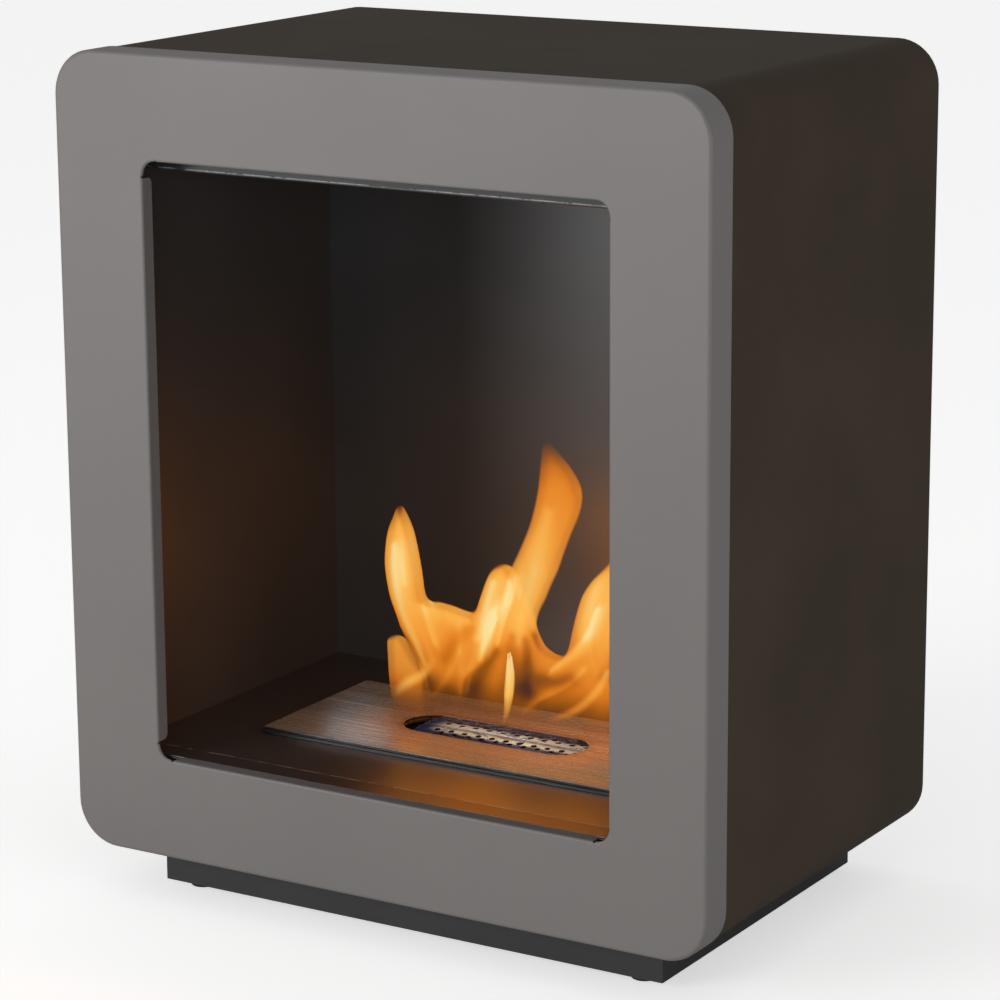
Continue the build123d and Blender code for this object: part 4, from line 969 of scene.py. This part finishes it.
litByFlames = litNodes("litByFlames", lightValues["groups"]["outerShells"], "EXCLUDE")
mainCurtain = mainFields(mainSheets, mainFolds, mainHollows, flameValues)
makeCurtain("flame_main_curtain", mainCurtain, flameValues["main"], flameValues)
makeCurtain("flame_front_folds", strokeFields(frontStrokes, flameValues), flameValues["front"], flameValues)
print("flames made")


# Turned and moulded small parts. A profile's rows are rings (radius, height, share of hexagon); it runs up
# on the outside and down inside a socket or bore, so that faces point outwards
turnedValues = {"segments": 24, "threadDepth": 0.00045, "threadPitch": 0.00125}


# The surface through rings of points, given each ring's radii and height. The ends are closed by caps or, in
# a bored part, the last ring is joined to the first
def ringSurface(radii, heights, bored):
    angle = np.arange(radii.shape[1]) * 2 * np.pi / radii.shape[1]
    points = np.stack([radii * np.cos(angle), radii * np.sin(angle), heights + 0 * radii], -1)
    number = np.arange(radii.size).reshape(radii.shape)
    lower = number if bored else number[:-1]
    upper = np.roll(number, -1, 0) if bored else number[1:]
    quads = np.stack([lower, np.roll(lower, -1, 1), np.roll(upper, -1, 1), upper], -1).reshape(-1, 4)
    faces = quads.tolist()
    if not bored:
        faces += [number[0, ::-1].tolist(), number[-1].tolist()]
    return points.reshape(-1, 3), faces


# Each row's radius is mixed with that of a hexagon, whose radius at an angle is the inner one over the
# cosine of the angle from the nearest flat's middle
def turnedShape(rows, bored=False, segments=turnedValues["segments"]):
    radius, height, hexShare = np.transpose([(*row, 0)[:3] for row in rows])[..., None]
    angle = np.arange(segments) * 2 * np.pi / segments
    flatRadius = 1 / np.cos(angle % (np.pi / 3) - np.pi / 6)
    return ringSurface(radius * (1 + hexShare * (flatRadius - 1)), height, bored)


# Copies of one shape: its local X, Y and Z become the three given directions, and its middle each given place
def copyShape(shape, places, directions=((1, 0, 0), (0, 1, 0), (0, 0, 1))):
    points, faces = shape
    turned = points @ np.array(directions, float)
    placed = (np.array(places, float)[:, None, :] + turned[None]).reshape(-1, 3)
    starts = range(0, len(placed), len(points))
    return placed, [[corner + start for corner in face] for start in starts for face in faces]


# Several shapes as one: each shape's faces count on from the points before it
def mergeShapes(*shapes):
    starts = np.cumsum([0] + [len(points) for points, faces in shapes])
    faces = [[corner + start for corner in face] for start, (points, shapeFaces) in zip(starts, shapes)
             for face in shapeFaces]
    return np.concatenate([points for points, shapeFaces in shapes]), faces


# Thread rows from bottom to top: rings half a pitch apart that step in and out by the thread's depth
def threadRows(radius, low, high, v=turnedValues):
    count = max(4, 2 * round((high - low) / v["threadPitch"]))
    heights = np.linspace(low, high, count + 1)[1:-1]
    radii = radius - v["threadDepth"] * (np.arange(len(heights)) % 2 == 0)
    inner = radius - v["threadDepth"]
    chamfer = (inner * 0.82, low), (inner, low + 0.25 * (heights[0] - low))
    return [*chamfer, *zip(radii, heights), (inner, high)]


# A domed head on a threaded shank: the dome follows a quarter ellipse from its rim up to the socket's edge
def domedScrew(shankRadius, shankLength, headRadius, headHeight, socketRadius):
    angle = np.linspace(0.15, 1, 6) * np.arccos(socketRadius * 1.25 / headRadius)
    rise = 0.25 * headHeight + 0.75 * headHeight * np.sin(angle) / math.sin(angle[-1])
    dome = list(zip(headRadius * np.cos(angle), rise))
    return turnedShape([
        *threadRows(shankRadius, -shankLength, -0.0002), (shankRadius, 0), (headRadius * 0.98, 0),
        (headRadius, 0.12 * headHeight), *dome, (socketRadius * 1.06, headHeight, 1),
        (socketRadius, 0.94 * headHeight, 1), (socketRadius, 0.35 * headHeight, 1),
        (socketRadius * 0.6, 0.27 * headHeight, 0.5),
    ])


# A hexagon nut: its bore is countersunk, and at both faces circle and hexagon mix to chamfer its corners
def hexNut(flats, height, boreRadius, countersink=0.0004):
    r = flats / 2
    return turnedShape([
        (boreRadius + countersink, 0), (r * 0.93, 0), (r * 0.985, 0.06 * height, 0.45), (r, 0.14 * height, 1),
        (r, 0.86 * height, 1), (r * 0.985, 0.94 * height, 0.45), (r * 0.93, height),
        (boreRadius + countersink, height), (boreRadius, height - countersink), (boreRadius, countersink),
    ], bored=True)


# A stud: one thread over its whole length with a chamfer at each end
def threadedStud(radius, low, high, chamfer=0.0003):
    return turnedShape([*threadRows(radius, low, high - chamfer), ((radius - 0.0005) * 0.85, high)])


# A blind rivet's two flanges on its hollow shank; the outer dome has the broken-off pin's dimple
def blindRivet(shankRadius, headRadius, headHeight, high, low=0, rim=0.0001):
    return turnedShape([
        (headRadius * 0.80, low - headHeight), (headRadius * 0.96, low - 0.5 * headHeight),
        (headRadius, low - rim), (headRadius, low), (shankRadius, low), (shankRadius, high),
        (headRadius, high), (headRadius, high + rim), (headRadius * 0.93, high + 0.55 * headHeight),
        (headRadius * 0.72, high + 0.88 * headHeight), (headRadius * 0.45, high + headHeight),
        (headRadius * 0.36, high + headHeight), (headRadius * 0.33, high + 0.45 * headHeight),
        (headRadius * 0.12, high + 0.35 * headHeight),
    ])


# Foot pad: a flared disc whose side has grip ribs, a raised collar around the stud, and a ring underneath
def footPad(v):
    radius, height, groove = np.transpose(v["rows"])[..., None]
    ribs = groove * np.where(np.arange(v["segments"]) % v["ribEvery"] == 0, -1, 0)
    return ringSurface(radius + ribs, height, True)


padValues = {
    "segments": 72, "ribEvery": 3,
    # radius, height, depth of the ribs' grooves; from the bottom's inner ring out, up, in and down the socket
    "rows": ((0.0012, 0.0006, 0), (0.0070, 0.0006, 0), (0.0074, 0.0, 0), (0.0088, 0.0, 0),
             (0.0096, 0.0004, 0.0001), (0.0100, 0.0012, 0.0003), (0.0100, 0.0046, 0.0005),
             (0.0096, 0.0058, 0.0004), (0.0086, 0.0063, 0.0001), (0.0068, 0.0065, 0), (0.0060, 0.0070, 0),
             (0.0046, 0.0070, 0), (0.0041, 0.0067, 0), (0.0041, 0.0030, 0), (0.0012, 0.0028, 0)),
}
socket = 0.00125                                       # half the width of a screw's hexagon socket
measures = {
    # shank radius and length, head radius and height, half the socket's width
    "rearScrew": (0.0020, 0.0080, 0.0036, 0.0013, socket),
    "shieldScrew": (0.0020, 0.0415, 0.0040, 0.0022, socket),
    "plinthScrew": (0.0025, 0.0100, 0.0045, 0.0030, socket * 1.2),
    # across the flats, height, bore radius
    "m4Nut": (0.007, 0.0032, 0.00205), "m5Nut": (0.008, 0.004, 0.00255), "m8Nut": (0.013, 0.0065, 0.00405),
    # radius, from and to
    "fasciaStud": (0.0025, 0, 0.040), "tankStud": (0.0020, -0.0100, 0), "footStud": (0.0040, 0.0030, 0.0340),
    # shank radius, head radius, head height, length between the heads
    "frontRivet": (0.0016, 0.0032, 0.0009, 0.0035), "rearRivet": (0.0016, 0.0032, 0.0009, 0.0030),
}
towardsBack = ((1, 0, 0), (0, 0, -1), (0, 1, 0))       # a part's Z along +Y
towardsFront = ((1, 0, 0), (0, 0, 1), (0, -1, 0))      # a part's Z along -Y
upsideDown = ((1, 0, 0), (0, -1, 0), (0, 0, -1))

bodyMiddleZ, tankMiddleY = 0.3515, -0.011
signs = [(first, second) for first in (-1, 1) for second in (-1, 1)]
rearPlaces = [(x * side, 0.1810, bodyMiddleZ + z * up) for x, z in ((0.270, 0.15125), (0.135, 0.3025))
              for side, up in signs]
shieldPlaces = [(side * 0.207, y, 0.6130) for side in (-1, 1) for y in (-0.0985, 0.0855)]
plinthPlaces = [(x, y) for x in (-0.150, 0, 0.150) for y in (-0.1315, 0.1495)]
fasciaPlaces = [(side * 0.262, bodyMiddleZ + z) for side in (-1, 1) for z in (-0.2525, 0, 0.2525)]
rivetPlaces = [(side * 0.25225, bodyMiddleZ + z) for side in (-1, 1) for z in (-0.200, 0, 0.200)]
tankPlaces = [(x * side, tankMiddleY + y * way) for x, y in ((0.150, 0.025), (0.09667, 0.055))
              for side, way in signs]
footPlaces = {"front_left": (-0.200, -0.1285), "front_right": (0.200, -0.1285),
              "rear_left": (-0.200, 0.1465), "rear_right": (0.200, 0.1465)}


# Places (x, y) on a level plane, or (x, z) on an upright one
def atHeight(places, z):
    return [(x, y, z) for x, y in places]


def atDepth(places, y):
    return [(x, y, z) for x, z in places]


# Each stands for the CAD node of the same name without "_detail"
hardware = [
    # name, body, finish, shape
    ("rear_panel_screws", "casing", "zinc_plated_steel",
     copyShape(domedScrew(*measures["rearScrew"]), rearPlaces, towardsBack)),
    ("heat_shield_screws", "casing", "zinc_plated_steel",
     copyShape(domedScrew(*measures["shieldScrew"]), shieldPlaces)),
    ("plinth_screws", "casing", "zinc_plated_steel",
     copyShape(domedScrew(*measures["plinthScrew"]), atHeight(plinthPlaces, 0.038), upsideDown)),
    ("plinth_nuts", "casing", "zinc_plated_steel",
     copyShape(hexNut(*measures["m5Nut"]), atHeight(plinthPlaces, 0.042))),
    ("fascia_studs", "casing", "zinc_plated_steel",
     copyShape(threadedStud(*measures["fasciaStud"]), atDepth(fasciaPlaces, -0.1805), towardsBack)),
    ("fascia_nuts", "casing", "zinc_plated_steel",
     copyShape(hexNut(*measures["m5Nut"]), atDepth(fasciaPlaces, -0.1485), towardsBack)),
    ("firebox_rivets", "casing", "rivet_aluminium", mergeShapes(
        copyShape(blindRivet(*measures["frontRivet"]), atDepth(rivetPlaces, -0.1470), towardsFront),
        copyShape(blindRivet(*measures["rearRivet"]), atDepth(rivetPlaces, 0.1340), towardsBack))),
    ("tank_studs", "burner", "zinc_plated_steel",
     copyShape(threadedStud(*measures["tankStud"]), atHeight(tankPlaces, 0.1187))),
    ("tank_nuts", "burner", "zinc_plated_steel",
     copyShape(hexNut(*measures["m4Nut"]), atHeight(tankPlaces, 0.1143))),
    ("foot_nuts", "casing", "zinc_plated_steel",
     copyShape(hexNut(*measures["m8Nut"]), atHeight(sorted(footPlaces.values()), 0.0125))),
]
for foot, (x, y) in footPlaces.items():
    pad, stud = footPad(padValues), threadedStud(*measures["footStud"])
    hardware.append((f"foot_pad_{foot}", f"foot_{foot}", "foot_plastic", copyShape(pad, [(x, y, 0)])))
    hardware.append((f"foot_stud_{foot}", f"foot_{foot}", "zinc_plated_steel", copyShape(stud, [(x, y, 0)])))
for name, body, finish, shape in hardware:
    dress(makePiece(name + "_detail", *shape, sharpAngle=28), body, finish, name)
print("screws, nuts, studs, rivets and feet made")


wickValues = {
    "low": (-0.1435, -0.0595, 0.0599), "high": (0.1435, 0.0375, 0.1039),
    "steps": (72, 28, 12), "roundness": 0.010,
    "wave": 0.0012, "waveAlong": 210, "waveAcross": 190, "bend": (1.3, 160),     # depth; radians per metre
    "joinWithin": 0.00005,
}


# Fibre wick: the surface of a box whose points are pulled in towards a rounded block, that is, the nearest
# point of a smaller box plus a fixed distance outwards; waves lift and lower its top like packed wool
def makeWick(v):
    low, high = np.array(v["low"]), np.array(v["high"])
    middle, half = (low + high) / 2, (high - low) / 2
    shapes = []
    for axis in range(3):
        first, second = [other for other in range(3) if other != axis]
        lines = (np.linspace(-1, 1, v["steps"][way] + 1) for way in (first, second))
        u, w = np.meshgrid(*lines, indexing="ij")
        quads = gridFaces(np.arange(u.size).reshape(u.shape))
        for side in (-1, 1):
            points = np.zeros((u.size, 3))
            points[:, axis], points[:, first], points[:, second] = side, u.ravel(), w.ravel()
            outward = (side > 0) != (axis == 1)        # the first and second axis turn the other way for Y
            shapes.append((points, (quads if outward else quads[:, ::-1]).tolist()))
    points, faces = mergeShapes(*shapes)
    corner = points * half
    core = np.clip(corner, -(half - v["roundness"]), half - v["roundness"])
    away = corner - core
    length = np.linalg.norm(away, axis=1, keepdims=True)
    rounded = core + away / np.maximum(length, 1e-9) * v["roundness"]
    x, y, z = rounded.T
    bend, bends = v["bend"]
    wool = np.sin(x * v["waveAlong"] + bend * np.sin(y * bends)) * np.cos(y * v["waveAcross"])
    rounded[:, 2] -= v["wave"] * (0.5 + 0.5 * wool) * np.clip(z / half[2], 0, 1)
    return middle + rounded, faces


wick = makePiece("fibre_wick", *makeWick(wickValues), sharpAngle=60)
welder = wick.modifiers.new("joinSeams", "WELD")
welder.merge_threshold = wickValues["joinWithin"]
dress(wick, "burner", "ceramic_fibre", "ceramic_fibre_wick")
print("wick made")
